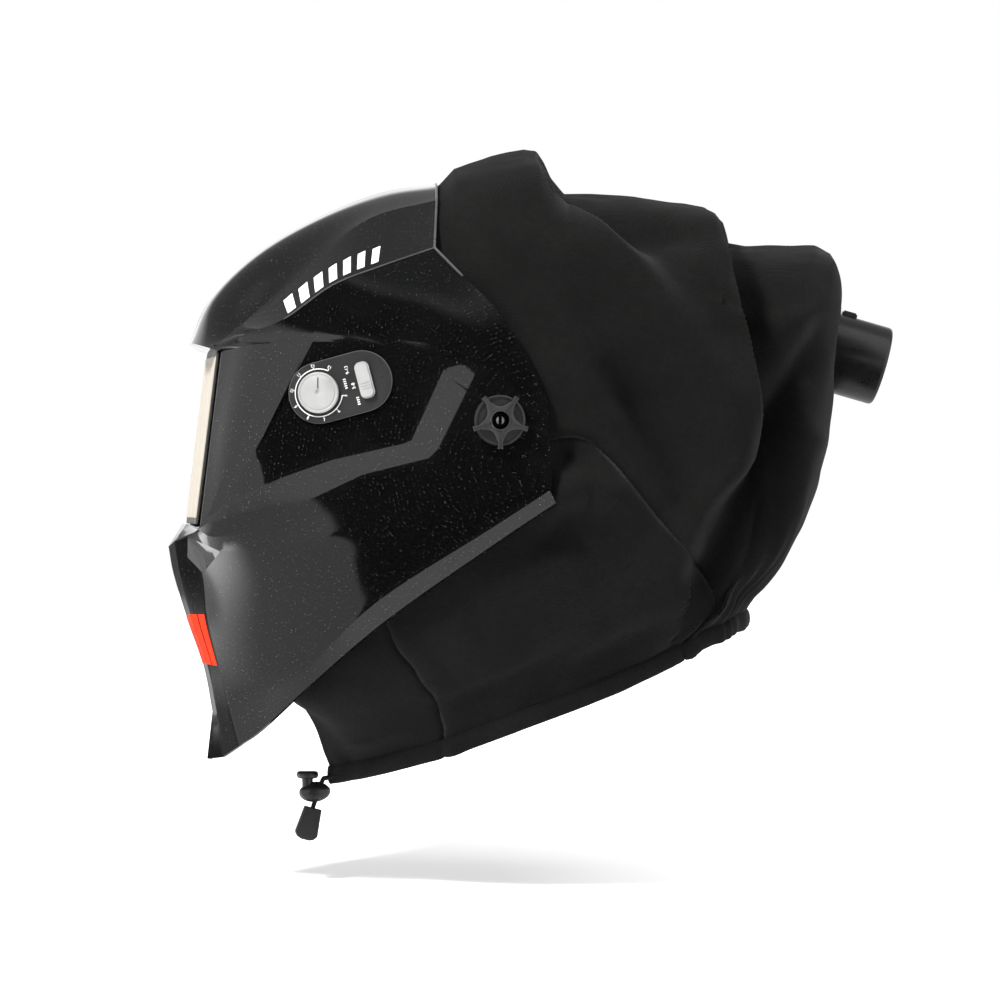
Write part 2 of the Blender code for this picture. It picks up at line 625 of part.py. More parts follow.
def arch(name, points, width, thickness, look, width_axis=(0, 1, 0)):
    """A strap over the head through points in mm."""
    half = Vector(width_axis) * width / 2
    bm = bmesh.new()
    rows = [[bm.verts.new((p + sign * half) * MM) for sign in (-1, 1)]
            for p in smooth_line([Vector(p) for p in points], 4)]
    for first, second in zip(rows, rows[1:]):
        bm.faces.new((first[0], second[0], second[1], first[1]))
    strap = place(name, mesh_of(bm, name), look)
    wall = strap.modifiers.new("wall", "SOLIDIFY")
    wall.thickness = thickness * MM
    wall.offset = 0.0
    return strap


def make_harness():
    band("headband", 28, 332, 26.0, 2.2, SATIN_BLACK, steps=40)
    band("sweatband", 128, 232, 30.0, 3.4, FOAM, grow=-3.4)
    band("rear_band", -26, 26, 26.0, 2.2, SATIN_BLACK, drop=2.0, steps=12)
    crown = [(77, -2, 55), (70, -2, 82), (40, -2, 101), (0, -2, 107), (-40, -2, 101),
             (-70, -2, 82), (-77, -2, 55)]
    arch("crown_strap", crown, 22.0, 1.8, SATIN_BLACK)
    rear = [(0, 12, 105), (0, 42, 94), (0, 69, 76), (0, 88, 54), (0, 95.6, 34)]
    arch("rear_strap", rear, 22.0, 1.8, SATIN_BLACK, (1, 0, 0))
    band("rear_pad", -20, 20, 22.0, 5.0, FOAM, grow=-4.2, drop=2.0, steps=8)
    housing = place("ratchet_housing", box_mesh("housing", (70, 12, 32), 2.5), SATIN_BLACK,
                    Matrix.Translation(Vector((0, 106.6, 13)) * MM))
    shaft_hole = cutter("ratchet_shaft_hole", cylinder_mesh("hole", 5.3, 40, 24),
                        along((0, 1, 0), (0, 118, 13)))
    boolean(housing, shaft_hole)
    turned("ratchet_knob",
           [(0.0, -8.0), (4.8, -8.0), (4.8, GAP), (16.0, GAP), (17.0, 1.6), (17.0, 12.0),
            (15.0, 14.0), (0.0, 14.0)],
           SOFT_BLACK, along((0, 1, 0), (0, 112.6 + GAP, 13)), steps=28)


# ---- the air path ----------------------------------------------------------------
def arc_point(radius, angle_deg):
    """A point at an angle above the rear, in the plane that the visor turns in."""
    angle = math.radians(angle_deg)
    return Vector((0, radius * math.cos(angle), radius * math.sin(angle)))


def spigot_axis():
    tilt = math.radians(SPIGOT_TILT_DEG)
    return Vector((0, math.cos(tilt), -math.sin(tilt)))


def rounded_section(half_width, half_height, power, count=16):
    """Points of a superellipse: power 2 is an ellipse, and a high one nearly a box."""
    points = []
    for step in range(count):
        angle = 2 * math.pi * (step + 0.5) / count
        c, s = math.cos(angle), math.sin(angle)
        points.append((half_width * math.copysign(abs(c) ** (2 / power), c),
                       half_height * math.copysign(abs(s) ** (2 / power), s)))
    return points


def duct(name, stations, wall, look):
    """A tube through stations of (centre, heading, half width, half height, power)."""
    bm = bmesh.new()
    skins = []
    for inset in (0.0, wall):
        rings = []
        for centre, heading, half_width, half_height, power in stations:
            up = Vector((1, 0, 0)).cross(Vector(heading)).normalized()
            section = rounded_section(half_width - inset, half_height - inset, power)
            rings.append([bm.verts.new((Vector(centre) + Vector((x, 0, 0)) + up * h) * MM)
                          for x, h in section])
        skins.append(rings)
    for rings in skins:
        for first, second in zip(rings, rings[1:]):
            for k in range(len(first)):
                m = (k + 1) % len(first)
                bm.faces.new((first[k], first[m], second[m], second[k]))
    for end in (0, -1):
        outer, inner = skins[0][end], skins[1][end]
        for k in range(len(outer)):
            m = (k + 1) % len(outer)
            bm.faces.new((outer[k], outer[m], inner[m], inner[k]))
    return place(name, mesh_of(bm, name), look)


def make_air_path():
    half_width, half_height = DUCT_SECTION[0] / 2, DUCT_SECTION[1] / 2
    steps = 10
    stations = []
    for step in range(steps + 1):
        angle = DUCT_REAR_DEG + (DUCT_FRONT_DEG - DUCT_REAR_DEG) * step / steps
        heading = arc_point(1.0, angle + 90)
        stations.append((arc_point(DUCT_RADIUS, angle), heading, half_width, half_height, 6))
    duct("crown_duct", stations, DUCT_WALL, SATIN_BLACK)

    front = arc_point(DUCT_RADIUS, DUCT_FRONT_DEG)
    ahead = arc_point(1.0, DUCT_FRONT_DEG + 90)
    nozzle = []
    for share, grow in ((0.0, 0.0), (0.5, 4.0), (1.0, 10.0)):
        centre = front + ahead * (GAP + 16.0 * share)
        nozzle.append((centre, ahead, half_width + grow, half_height - 1.5 * share, 6))
    duct("brow_nozzle", nozzle, DUCT_WALL, SATIN_BLACK)

    axis = spigot_axis()
    socket = Vector(SPIGOT_END) - axis * (SPIGOT_LENGTH + GAP)
    start = arc_point(DUCT_RADIUS, DUCT_REAR_DEG)
    leaving = arc_point(1.0, DUCT_REAR_DEG - 90)
    manifold = []
    steps = 6
    reach = (socket - start).length
    for step in range(steps + 1):
        t = step / steps
        entry, last = start + leaving * GAP, socket
        a, b = entry + leaving * reach / 3, last - axis * reach / 3
        centre = (entry * (1 - t) ** 3 + 3 * a * t * (1 - t) ** 2
                  + 3 * b * t * t * (1 - t) + last * t ** 3)
        heading = leaving.lerp(axis, t).normalized()
        ease = t * t * (3 - 2 * t)
        manifold.append((centre, heading, half_width + (SPIGOT_RADIUS - half_width) * ease,
                         half_height + (SPIGOT_RADIUS - half_height) * ease, 6 - 4 * ease))
    duct("rear_manifold", manifold, 1.8, SATIN_BLACK)

    inner = SPIGOT_RADIUS - SPIGOT_WALL
    lip = 1.2
    spigot = turned("inlet_spigot",
                    [(inner, 0.0), (SPIGOT_RADIUS, 0.0), (SPIGOT_RADIUS, SPIGOT_LENGTH - lip),
                     (SPIGOT_RADIUS - lip, SPIGOT_LENGTH), (inner, SPIGOT_LENGTH)],
                    SATIN_BLACK, along(axis, Vector(SPIGOT_END) - axis * SPIGOT_LENGTH))
    key = cutter("spigot_key", box_mesh("key", (7.0, 5.0, 9.0), 0.8),
                 along(axis, Vector(SPIGOT_END) - axis * 22.0
                       + Vector((1, 0, 0)).cross(axis) * (SPIGOT_RADIUS + 0.4)))
    boolean(spigot, key, "UNION")
    turned("spigot_clamp", ring_profile(SPIGOT_RADIUS + GAP, SPIGOT_RADIUS + 2.6, 0.0, 9.0),
           STEEL, along(axis, Vector(SPIGOT_END) - axis * 52.0))


# ---- the hood --------------------------------------------------------------------
def hood_rows(across, down):
    """Rows of points over the hood's left half, from the visor to the neck."""
    lines = [smooth_line([Vector(p) for p in line], across) for line in HOOD_LINES]
    columns = [smooth_line([line[c] for line in lines], down) for c in range(len(lines[0]))]
    return [[column[r] for column in columns] for r in range(len(columns[0]))]


def hood_panel(name, rows, first, last, mirrored, side=1):
    """The strip of the hood between two columns, as cloth of one thickness."""
    bm = bmesh.new()
    grid = []
    for row in rows:
        points = [row[c].copy() for c in range(first, last + 1)]
        if first:
            points[0] += (points[1] - points[0]).normalized() * SEAM_TRIM
        if last < len(row) - 1:
            points[-1] += (points[-2] - points[-1]).normalized() * SEAM_TRIM
        grid.append([bm.verts.new(Vector((side * p.x, p.y, p.z)) * MM) for p in points])
    for upper, lower in zip(grid, grid[1:]):
        for c in range(len(upper) - 1):
            bm.faces.new((upper[c], lower[c], lower[c + 1], upper[c + 1]))
    mesh = mesh_of(bm, name)
    outermost = max(mesh.polygons, key=lambda p: side * p.center.x)
    if outermost.normal.x * side < 0:
        mesh.flip_normals()
    panel = place(name, mesh, FABRIC, smooth_deg=80)
    if mirrored:
        both = panel.modifiers.new("both_sides", "MIRROR")
        both.merge_threshold = 1e-5
    cloth = panel.modifiers.new("cloth", "SOLIDIFY")
    cloth.thickness = FABRIC_THICKNESS * MM
    cloth.offset = -1.0
    return panel


def hem_route(mouth):
    """The middle of the neck hem: a loop that is open at the throat, mouth mm each way."""
    left = smooth_line([Vector(p) for p in HOOD_LINES[-1]], 2)
    left[-1] = left[-1].lerp(left[-2], mouth / left[-2].x)
    drop = Vector((0, 0, -HEM_DROP))
    right = [Vector((-p.x, p.y, p.z)) for p in reversed(left[1:])]
    return [p + drop for p in right + left]


def make_hood():
    across = 2
    rows = hood_rows(across, 2)
    main, throat = MAIN_SEAM * across, THROAT_SEAM * across
    crown = hood_panel("hood_crown_panel", rows, 0, main, True)
    hole = cutter("spigot_hole", cylinder_mesh("hole", SPIGOT_RADIUS + 0.8, 60),
                  along(spigot_axis(), Vector(SPIGOT_END) - spigot_axis() * 30.0))
    boolean(crown, hole)
    for side, sign in (("left", 1), ("right", -1)):
        hood_panel(f"hood_neck_panel_{side}", rows, main, throat, False, sign)
    hood_panel("throat_panel", rows, throat, len(rows[0]) - 1, True)
    place("neck_hem", hollow_loop(hem_route(8.5), HEM_RADIUS, HEM_BORE), FABRIC,
          smooth_deg=80)
    wire("drawcord", hem_route(9.5), CORD_RADIUS, CORD_GREY)


def hollow_loop(route, outer, inner, sides=6):
    """A tube with a bore along a route in mm, open at both of its ends."""
    bm = bmesh.new()
    skins = [[], []]
    for k, centre in enumerate(route):
        before, after = route[max(k - 1, 0)], route[min(k + 1, len(route) - 1)]
        heading = (after - before).normalized()
        side = heading.cross(Vector((0, 0, 1))).normalized()
        up = side.cross(heading)
        for skin, radius in zip(skins, (outer, inner)):
            ring = []
            for step in range(sides):
                angle = 2 * math.pi * step / sides
                offset = side * math.cos(angle) + up * math.sin(angle)
                ring.append(bm.verts.new((centre + offset * radius) * MM))
            skin.append(ring)
    for rings in skins:
        for first, second in zip(rings, rings[1:]):
            for k in range(sides):
                m = (k + 1) % sides
                bm.faces.new((first[k], first[m], second[m], second[k]))
    for end in (0, -1):
        for k in range(sides):
            m = (k + 1) % sides
            bm.faces.new((skins[0][end][k], skins[0][end][m], skins[1][end][m],
                          skins[1][end][k]))
    return mesh_of(bm, "hollow_loop")


# ---- the drawcord's lock and its end ---------------------------------------------
LOCK_CENTRE = (0.0, -95.5, -211.0)
PLUNGER_Y = -99.7


def tail_route(sign):
    """One end of the drawcord: out of the hem, down through the lock, into the cord end."""
    return [(sign * 7.4, -83.6, -201.8), (sign * 5.0, -86.0, -202.4),
            (sign * 3.0, -88.9, -203.2), (sign * 1.8, -91.2, -204.8),
            (sign * 1.7, -96.4, -219.5), (sign * 1.7, -99.6, -231.5)]


def make_cord_lock():
    body = place("cord_lock_body", box_mesh("body", (12.0, 18.0, 11.0), 4.0), SOFT_BLACK,
                 Matrix.Translation(Vector(LOCK_CENTRE) * MM))
    well = cutter("plunger_well", cylinder_mesh("well", 3.3, 12.0, 20),
                  along((0, 0, 1), (0, PLUNGER_Y, LOCK_CENTRE[2] + 1.5)))
    boolean(body, well)
    for side, sign in (("left", 1), ("right", -1)):
        path = [Vector(p) for p in tail_route(sign)]
        entry, leave = path[3], path[4]
        passage = cutter(f"cord_passage_{side}", cylinder_mesh("passage", 1.65, 24, 14),
                         along(leave - entry, (entry + leave) / 2))
        boolean(body, passage)
        wire(f"drawcord_tail_{side}", smooth_line(path, 3), CORD_RADIUS, CORD_GREY)
    turned("cord_lock_spring", ring_profile(1.6, 2.7, -4.2, 2.6), STEEL,
           along((0, 0, 1), (0, PLUNGER_Y, LOCK_CENTRE[2])), steps=16)
    cap_low = LOCK_CENTRE[2] + 5.5 + 2.4
    foot = LOCK_CENTRE[2] + 2.9
    turned("cord_lock_button",
           [(0.0, foot), (2.9, foot), (2.9, cap_low), (5.6, cap_low), (6.2, cap_low + 1.0),
            (6.2, cap_low + 2.8), (4.6, cap_low + 4.0), (0.0, cap_low + 4.0)],
           SOFT_BLACK, Matrix.Translation((0, PLUNGER_Y * MM, 0)), steps=24)
    end = outline_solid("cord_end", [(-5.2, 0), (5.2, 0), (6.6, -15.0), (4.6, -18.2),
                                     (-4.6, -18.2), (-6.6, -15.0)],
                        8.0, SOFT_BLACK, cord_end_matrix())
    for side, sign in (("left", 1), ("right", -1)):
        path = [Vector(p) for p in tail_route(sign)]
        start, stop = path[-2], path[-1]
        run = (stop - start).normalized()
        passage = cutter(f"end_passage_{side}", cylinder_mesh("passage", 1.65, 30, 14),
                         along(run, stop + run * 1.0 - run * 15.0))
        boolean(end, passage)


def cord_end_matrix():
    """The cord end hangs along the tails: local Y up along them, local Z sideways."""
    path = [Vector(p) for p in tail_route(0)]
    up = (path[-2] - path[-1]).normalized()
    out = Vector((1, 0, 0))
    turn = Matrix((up.cross(out), up, out)).transposed().to_4x4()
    return (Matrix.Translation((path[-2] - up * 0.6) * MM) @ turn
            @ Matrix.Translation((0, 0, -4.0 * MM)))


clear_scene()
bpy.context.scene.unit_settings.system = "METRIC"
HELMET = collection("air_fed_helmet")
CUTTERS = collection("cutters")
GLOSS_BLACK = material("gloss_black", (0.006, 0.006, 0.006), 0.08)
SATIN_BLACK = material("satin_black", (0.02, 0.02, 0.021), 0.4)
SOFT_BLACK = material("soft_black", (0.015, 0.015, 0.015), 0.6)
KNOB_PLASTIC = material("knob_plastic", (0.03, 0.03, 0.032), 0.3)
LENS_GOLD = material("lens_gold", (0.65, 0.55, 0.38), 0.06)
GREEN_GLASS = material("green_glass", (0.02, 0.05, 0.03), 0.05)
SOLAR_BLUE = material("solar_blue", (0.01, 0.012, 0.04), 0.2)
CLEAR_PLASTIC = material("clear_plastic", (0.8, 0.82, 0.8), 0.05, alpha=0.35)
DIAL_WHITE = material("dial_white", (0.72, 0.72, 0.71), 0.45)
STEEL = material("steel", (0.5, 0.5, 0.5), 0.3, 1.0)
FOAM = material("foam", (0.02, 0.02, 0.02), 0.9)
FABRIC = material("fabric", (0.012, 0.012, 0.013), 0.85)
CORD_GREY = material("cord_grey", (0.03, 0.03, 0.032), 0.8)

make_visor_shell()
make_filter()
make_controls()
make_pivots()
make_harness()
make_air_path()
make_hood()
make_cord_lock()
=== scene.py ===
"""Looks for the air-fed welding helmet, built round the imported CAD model.

Frame: metres, +Z up, the face looks along -Y and the wearer's left is +X. The tables
hold millimetres, and MM turns them into metres. The left half of the shell and of the
hood is described, and the right half is its mirror image.
"""

import json
import math

import bmesh
import bpy
import numpy as np
from mathutils import Matrix, Vector, noise


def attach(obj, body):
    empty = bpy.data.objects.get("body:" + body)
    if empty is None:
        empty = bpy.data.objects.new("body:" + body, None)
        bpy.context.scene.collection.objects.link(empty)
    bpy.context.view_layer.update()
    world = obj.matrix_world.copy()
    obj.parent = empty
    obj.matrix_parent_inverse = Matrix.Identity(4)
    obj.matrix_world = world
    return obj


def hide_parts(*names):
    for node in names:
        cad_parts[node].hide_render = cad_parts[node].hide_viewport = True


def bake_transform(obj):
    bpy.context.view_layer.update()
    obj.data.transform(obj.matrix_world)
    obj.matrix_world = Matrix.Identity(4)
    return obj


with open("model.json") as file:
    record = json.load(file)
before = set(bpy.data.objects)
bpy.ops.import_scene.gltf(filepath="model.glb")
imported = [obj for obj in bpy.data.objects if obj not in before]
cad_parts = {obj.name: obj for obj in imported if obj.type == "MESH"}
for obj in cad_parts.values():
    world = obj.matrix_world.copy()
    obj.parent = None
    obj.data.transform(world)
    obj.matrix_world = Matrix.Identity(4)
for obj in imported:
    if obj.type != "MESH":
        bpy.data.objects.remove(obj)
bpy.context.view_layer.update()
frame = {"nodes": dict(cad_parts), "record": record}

MM = 0.001
MIRROR = np.array([-1.0, 1.0, 1.0])
SIDES_OF_HEAD = (("left", 1), ("right", -1))
SHELL_THICKNESS = 2.5
FABRIC_THICKNESS = 1.6
SMOOTH_DEG = 35.0

# ---- the shell's character lines, as in the CAD --------------------------------------
SHELL_LINES = {
    "crown_edge": [(0, -26, 136), (28, -28, 133), (55, -30, 125), (90, -34, 97),
                   (99, -19, 81), (106, -4, 66), (113, 13, 42), (118, 27, 11)],
    "crown": [(0, -58, 131), (27, -60, 127), (53, -67, 115), (88, -63, 87),
              (101, -37, 67), (109, -16, 50), (115, 6, 28), (118, 27, 6)],
    "forehead": [(0, -93, 117), (26, -96, 112), (52, -97, 93), (86, -91, 76),
                 (98, -57, 57), (109, -27, 39), (116, 1, 16), (119, 27, 0)],
    "brow_top": [(0, -127, 97), (26, -130, 91), (52, -127, 66), (80, -118, 57),
                 (94, -73, 48), (107, -35, 31), (116, -2, 8), (119, 27, -6)],
    "brow": [(0, -153, 72), (27, -155, 67), (54, -147, 49), (72, -139, 49)],
    "brow_tip": [(0, -167, 44), (29, -166, 44), (57, -158, 41), (72, -141, 44)],
    "window_top": [(0, -152, 39), (29, -152, 39), (58, -152, 39), (80, -131, 43),
                   (92, -90, 42), (106, -43, 25), (116, -5, 6), (120, 28, -11)],
    "window_middle": [(0, -158, -10), (29, -158, -10), (58, -158, -10), (77, -143, -10),
                      (95, -104, -10), (108, -55, -8), (117, -11, -11), (120, 28, -19)],
    "window_bottom": [(0, -164, -59), (29, -164, -59), (58, -164, -59), (75, -146, -53),
                      (93, -110, -42), (107, -63, -33), (117, -16, -28), (121, 29, -27)],
    "bridge": [(0, -171, -58), (27, -170, -58), (54, -165, -61), (64, -153, -65)],
    "chin_ridge": [(0, -179, -71), (9, -176, -68), (18, -169, -66), (52, -153, -73),
                   (86, -115, -70), (105, -66, -56), (116, -16, -42), (121, 29, -32)],
    "chin_upper": [(0, -176, -87), (9, -173, -86), (24, -161, -86), (48, -146, -90),
                   (82.5, -112, -87), (102, -66, -68), (116, -14, -47), (121, 29, -35)],
    "chin_middle": [(0, -168, -113), (9, -166, -112), (23, -158, -112), (45, -139, -114),
                    (75, -109, -105), (98, -67, -80), (115, -12, -51), (121, 29, -37)],
    "chin_lower": [(0, -159, -139), (9, -157, -139), (21, -151, -140), (42, -132, -138),
                   (70, -106, -123), (94, -67, -91), (114, -8, -56), (120, 28, -38)],
    "flange": [(0, -154, -165), (9, -152, -165), (20, -145, -165), (38, -128, -158),
               (66, -104, -139), (91, -66, -101), (114, -4, -60), (120, 28, -39)],
    "hem_edge": [(0, -157, -192), (9, -149, -191), (24, -140, -184), (40, -129, -175),
                 (69, -101, -147), (99, -60, -110), (120.5, 4, -64), (124.5, 31, -46)],
}
SHARP_LINES = {"brow_tip", "window_top", "window_bottom", "bridge", "chin_ridge", "flange"}
CROWN_LINES = ("crown_edge", "crown", "forehead", "brow_top", "brow", "brow_tip")
CHIN_LINES = ("bridge", "chin_ridge", "chin_upper", "chin_middle", "chin_lower", "flange",
              "hem_edge")
STATIONS = 8
WINDOW_STATIONS = 2
CHIN_LINE, FLANGE_LINE = 10, 14
# Along the flange the crease below the cheek grows from nothing over these stations.
CREASE_FROM, CREASE_RUN = 3.4, 1.4
SHELL_STEPS = 6
# The patches whose normals are evened out, and those of the flange that follow the cheek.
CHEEK_COLUMNS, TEMPLE_ROWS, TEMPLE_COLUMNS = range(2, 7), range(2, 4), range(3, 7)
CREASE_COLUMNS = range(2, 5)
RECESS_RIM = [(-101, 50.5), (-28.5, 42), (-10, 32), (-34, -16), (-39, -21), (-75, -30),
              (-102, -43), (-137, -56), (-160, -61), (-130, -9)]
RECESS_FLOOR = [(-100.8, 47), (-40.7, 34.2), (-30, 29), (-48, -11), (-53, -13), (-92, -22),
                (-120, -32), (-146, -44), (-160, -57), (-130, -9)]
FLOOR_POINTS = [(88, -101, 47), (83, -130, -9), (103.5, -48, -10)]
# Flat facets of the shell that its lines don't follow: an outline in (y, z) and the normal.
FACETS = [
    ([(-100.8, 47), (-129.4, -8.8), (-118, -31.7), (-160, -54), (-129.7, 28), (-124, 51)],
     (0.924, -0.374, 0.078)),
    ([(-168.9, -65.6), (-152.2, -73.4), (-160.5, -86), (-168.9, -77)],
     (0.211, -0.945, -0.254)),
    ([(-28.5, 42), (-12, 34), (-30, 29), (-40.7, 34.2)], (0.980, -0.172, -0.101)),
]
# The kinds of face: outside the recess, its floor, its sides from here on, and the facets.
PLAIN, FLOOR, SIDES, FACET_REGION = 0, 1, 3, 40
CUT_FROM_X, SIDE_FROM_X = 10, 40
ON_CENTRE = 0.01
PANEL_ENDS = [(-98.5, 15.5), (-75, 22)]
PANEL_RADIUS = 17.0


# ---- small tools ---------------------------------------------------------------------
def smoothstep(low, high, value):
    t = min(1.0, max(0.0, (value - low) / (high - low)))
    return t * t * (3 - 2 * t)


def link(obj):
    bpy.context.scene.collection.objects.link(obj)
    return obj


def mesh_object(name, points, faces, look, smooth=True):
    """An object from points in metres and faces."""
    mesh = bpy.data.meshes.new(name)
    mesh.from_pydata([tuple(p) for p in points], [], [tuple(f) for f in faces])
    mesh.materials.append(look)
    if smooth:
        mesh.shade_smooth()
    return link(bpy.data.objects.new(name, mesh))


def make_outward(obj):
    bm = bmesh.new()
    bm.from_mesh(obj.data)
    bmesh.ops.recalc_face_normals(bm, faces=bm.faces)
    bm.to_mesh(obj.data)
    bm.free()
    return obj


def closed_pairs(ring):
    """Each item of a closed ring with the next one."""
    return zip(ring, ring[1:] + ring[:1])


def sleeve(rings, steps):
    """The faces of a closed tube of rings with steps points each, by index."""
    faces = []
    for k in range(rings - 1):
        for step in range(steps):
            m = (step + 1) % steps
            faces.append([k * steps + step, k * steps + m, (k + 1) * steps + m,
                          (k + 1) * steps + step])
    last = (rings - 1) * steps
    return faces + [list(range(steps))[::-1], list(range(last, last + steps))]


def bmesh_of(points, faces):
    bm = bmesh.new()
    verts = [bm.verts.new(tuple(p)) for p in points]
    for face in faces:
        bm.faces.new([verts[i] for i in face])
    return bm


def from_bmesh(name, bm, look, matrix=None, smooth_deg=SMOOTH_DEG):
    bmesh.ops.recalc_face_normals(bm, faces=bm.faces)
    mesh = bpy.data.meshes.new(name)
    bm.to_mesh(mesh)
    bm.free()
    mesh.materials.append(look)
    mesh.shade_smooth()
    mesh.set_sharp_from_angle(angle=math.radians(smooth_deg))
    obj = link(bpy.data.objects.new(name, mesh))
    if matrix:
        obj.matrix_world = matrix
    return obj


def catmull(before, start, end, after, t):
    return 0.5 * (2 * start + (end - before) * t
                  + (2 * before - 5 * start + 4 * end - after) * t * t
                  + (3 * start - before - 3 * end + after) * t ** 3)


def smooth_line(points, per_span, sharp=()):
    """A curve through points, with per_span steps between two and corners at sharp."""
    line = []
    last = len(points) - 1
    for i in range(last):
        start, end = points[i], points[i + 1]
        before = 2 * start - end if i == 0 or i in sharp else points[i - 1]
        after = 2 * end - start if i + 1 == last or i + 1 in sharp else points[i + 2]
        line += [catmull(before, start, end, after, k / per_span) for k in range(per_span)]
    return line + [points[-1]]


def as_points(rows):
    return [np.array(p, float) for p in rows]


# ---- the shell -----------------------------------------------------------------------
def full_lines():
    names = list(SHELL_LINES)
    whole = {name: as_points(points) for name, points in SHELL_LINES.items()}
    short = [name for name in names if len(whole[name]) < STATIONS]
    for name in short:
        at = names.index(name)
        above = max(i for i in range(at) if names[i] not in short)
        below = min(i for i in range(at, len(names)) if names[i] not in short)
        share = (at - above) / (below - above)
        for station in range(len(whole[name]), STATIONS):
            ends = whole[names[above]][station], whole[names[below]][station]
            whole[name].append(ends[0] * (1 - share) + ends[1] * share)
    return whole


def sharp_stations(name):
    if name in CROWN_LINES:
        return {2, 3}
    return {1, 2} if name in CHIN_LINES else {2}


def shell_grid():
    """The left half of the shell as an array of points, in mm."""
    lines = full_lines()
    names = list(lines)
    rows = [smooth_line(lines[name], SHELL_STEPS, sharp_stations(name)) for name in names]
    sharp = {names.index(name) for name in SHARP_LINES}
    columns = [smooth_line([row[c] for row in rows], SHELL_STEPS, sharp)
               for c in range(len(rows[0]))]
    return np.array(columns).transpose(1, 0, 2)


def unit(vectors):
    return vectors / np.maximum(np.linalg.norm(vectors, axis=-1, keepdims=True), 1e-12)


def joined(one, other, low_deg=9.0, high_deg=20.0, crispness=1.0):
    """The normals on the two sides of a line: shared where it is smooth, apart at a crease."""
    cosine = np.clip((one * other).sum(-1, keepdims=True), -1, 1)
    angle = np.degrees(np.arccos(cosine))
    apart = np.clip((angle - low_deg) / (high_deg - low_deg), 0, 1) * crispness
    shared = unit(one + other)
    return unit(shared + (one - shared) * apart), unit(shared + (other - shared) * apart)


def crease_share(j):
    """How far the flange's crease has grown, at each column of a patch."""
    stations = j + np.arange(SHELL_STEPS + 1) / SHELL_STEPS
    return np.clip((stations - CREASE_FROM) / CREASE_RUN, 0, 1)[:, None]


def patch_normals(grid):
    """Normals of each patch between two lines and two stations, outward."""
    patches = {}
    n = SHELL_STEPS
    for i in range((grid.shape[0] - 1) // n):
        for j in range((grid.shape[1] - 1) // n):
            block = grid[i * n:(i + 1) * n + 1, j * n:(j + 1) * n + 1]
            along_line = np.gradient(block, axis=1, edge_order=2)
            below = np.gradient(block, axis=0, edge_order=2)
            patches[i, j] = unit(np.cross(below, along_line))
    for (i, j), normals in patches.items():
        if (i, j + 1) in patches:
            right = patches[i, j + 1]
            normals[:, -1], right[:, 0] = joined(normals[:, -1], right[:, 0])
    for (i, j), normals in patches.items():
        if (i + 1, j) in patches:
            under = patches[i + 1, j]
            crisp = crease_share(j) if i + 1 == FLANGE_LINE else 1.0
            normals[-1], under[0] = joined(normals[-1], under[0], crispness=crisp)
    even_out(patches, range(CHIN_LINE, FLANGE_LINE), CHEEK_COLUMNS, passes=40)
    even_out(patches, TEMPLE_ROWS, TEMPLE_COLUMNS)
    for j in CREASE_COLUMNS:
        own = crease_share(j)
        above = patches[FLANGE_LINE - 1, j][-1]
        patches[FLANGE_LINE, j][:] = unit(patches[FLANGE_LINE, j] * own + above * (1 - own))
    return patches


def even_out(patches, rows, columns, passes=10):
    """Smooths the normals within a block of patches and leaves those on its border."""
    block = np.concatenate([
        np.concatenate([patches[i, j][(i > rows[0]):, (j > columns[0]):] for j in columns], axis=1)
        for i in rows], axis=0)
    for _ in range(passes):
        inner = block[1:-1, 1:-1]
        around = (block[:-2, 1:-1] + block[2:, 1:-1] + block[1:-1, :-2] + block[1:-1, 2:]) / 4
        block[1:-1, 1:-1] = unit(inner + around)
        block[1:-1, -1] = unit(block[1:-1, -1] + (block[:-2, -1] + block[2:, -1]) / 2)
    n = SHELL_STEPS
    for a, i in enumerate(rows):
        for b, j in enumerate(columns):
            patches[i, j][:] = block[a * n:(a + 1) * n + 1, b * n:(b + 1) * n + 1]


def inside(point, outline):
    found = False
    for (y1, z1), (y2, z2) in closed_pairs(outline):
        if (z1 > point[1]) != (z2 > point[1]):
            found ^= point[0] < (y2 - y1) * (point[1] - z1) / (z2 - z1) + y1
    return found


def floor_plane():
    a, b, c = (Vector(p) for p in FLOOR_POINTS)
    normal = (b - a).cross(c - a).normalized()
    return a, normal if normal.x > 0 else -normal


def floor_x(y, z):
    at, normal = floor_plane()
    return at.x - (normal.y * (y - at.y) + normal.z * (z - at.z)) / normal.x


def across_share(point, i):
    """How far a point is from the rim towards the floor, at the recess's side i."""
    m = (i + 1) % len(RECESS_RIM)

    def side(share):
        (ay, az), (by, bz) = (
            [rim + (floor - rim) * share for rim, floor in zip(RECESS_RIM[k], RECESS_FLOOR[k])]
            for k in (i, m))
        return (by - ay) * (point[1] - az) - (bz - az) * (point[0] - ay)

    low, high = 0.0, 1.0
    at_low = side(0.0)
    for _ in range(24):
        middle = (low + high) / 2
        if (side(middle) > 0) == (at_low > 0):
            low = middle
        else:
            high = middle
    return (low + high) / 2


def width_at(spot, i):
    """The distances from a spot to the rim and to the floor, at the recess's side i."""
    m = (i + 1) % len(RECESS_RIM)
    return sum(to_polyline(spot, [line[i], line[m]])[0] for line in (RECESS_RIM, RECESS_FLOOR))


def cut_along(bm, first, second, reach=2.5):
    low_y, high_y = min(first[0], second[0]) - reach, max(first[0], second[0]) + reach
    low_z, high_z = min(first[1], second[1]) - reach, max(first[1], second[1]) + reach
    faces = [f for f in bm.faces if any(
        low_y < v.co.y < high_y and low_z < v.co.z < high_z and v.co.x > CUT_FROM_X
        for v in f.verts)]
    geom = set(faces)
    for face in faces:
        geom.update(face.edges)
        geom.update(face.verts)
    bmesh.ops.bisect_plane(bm, geom=list(geom), dist=0.02, plane_co=(0, *first),
                           plane_no=(0, second[1] - first[1], first[0] - second[0]))


def side_view(face):
    centre = face.calc_center_median()
    return centre.y, centre.z


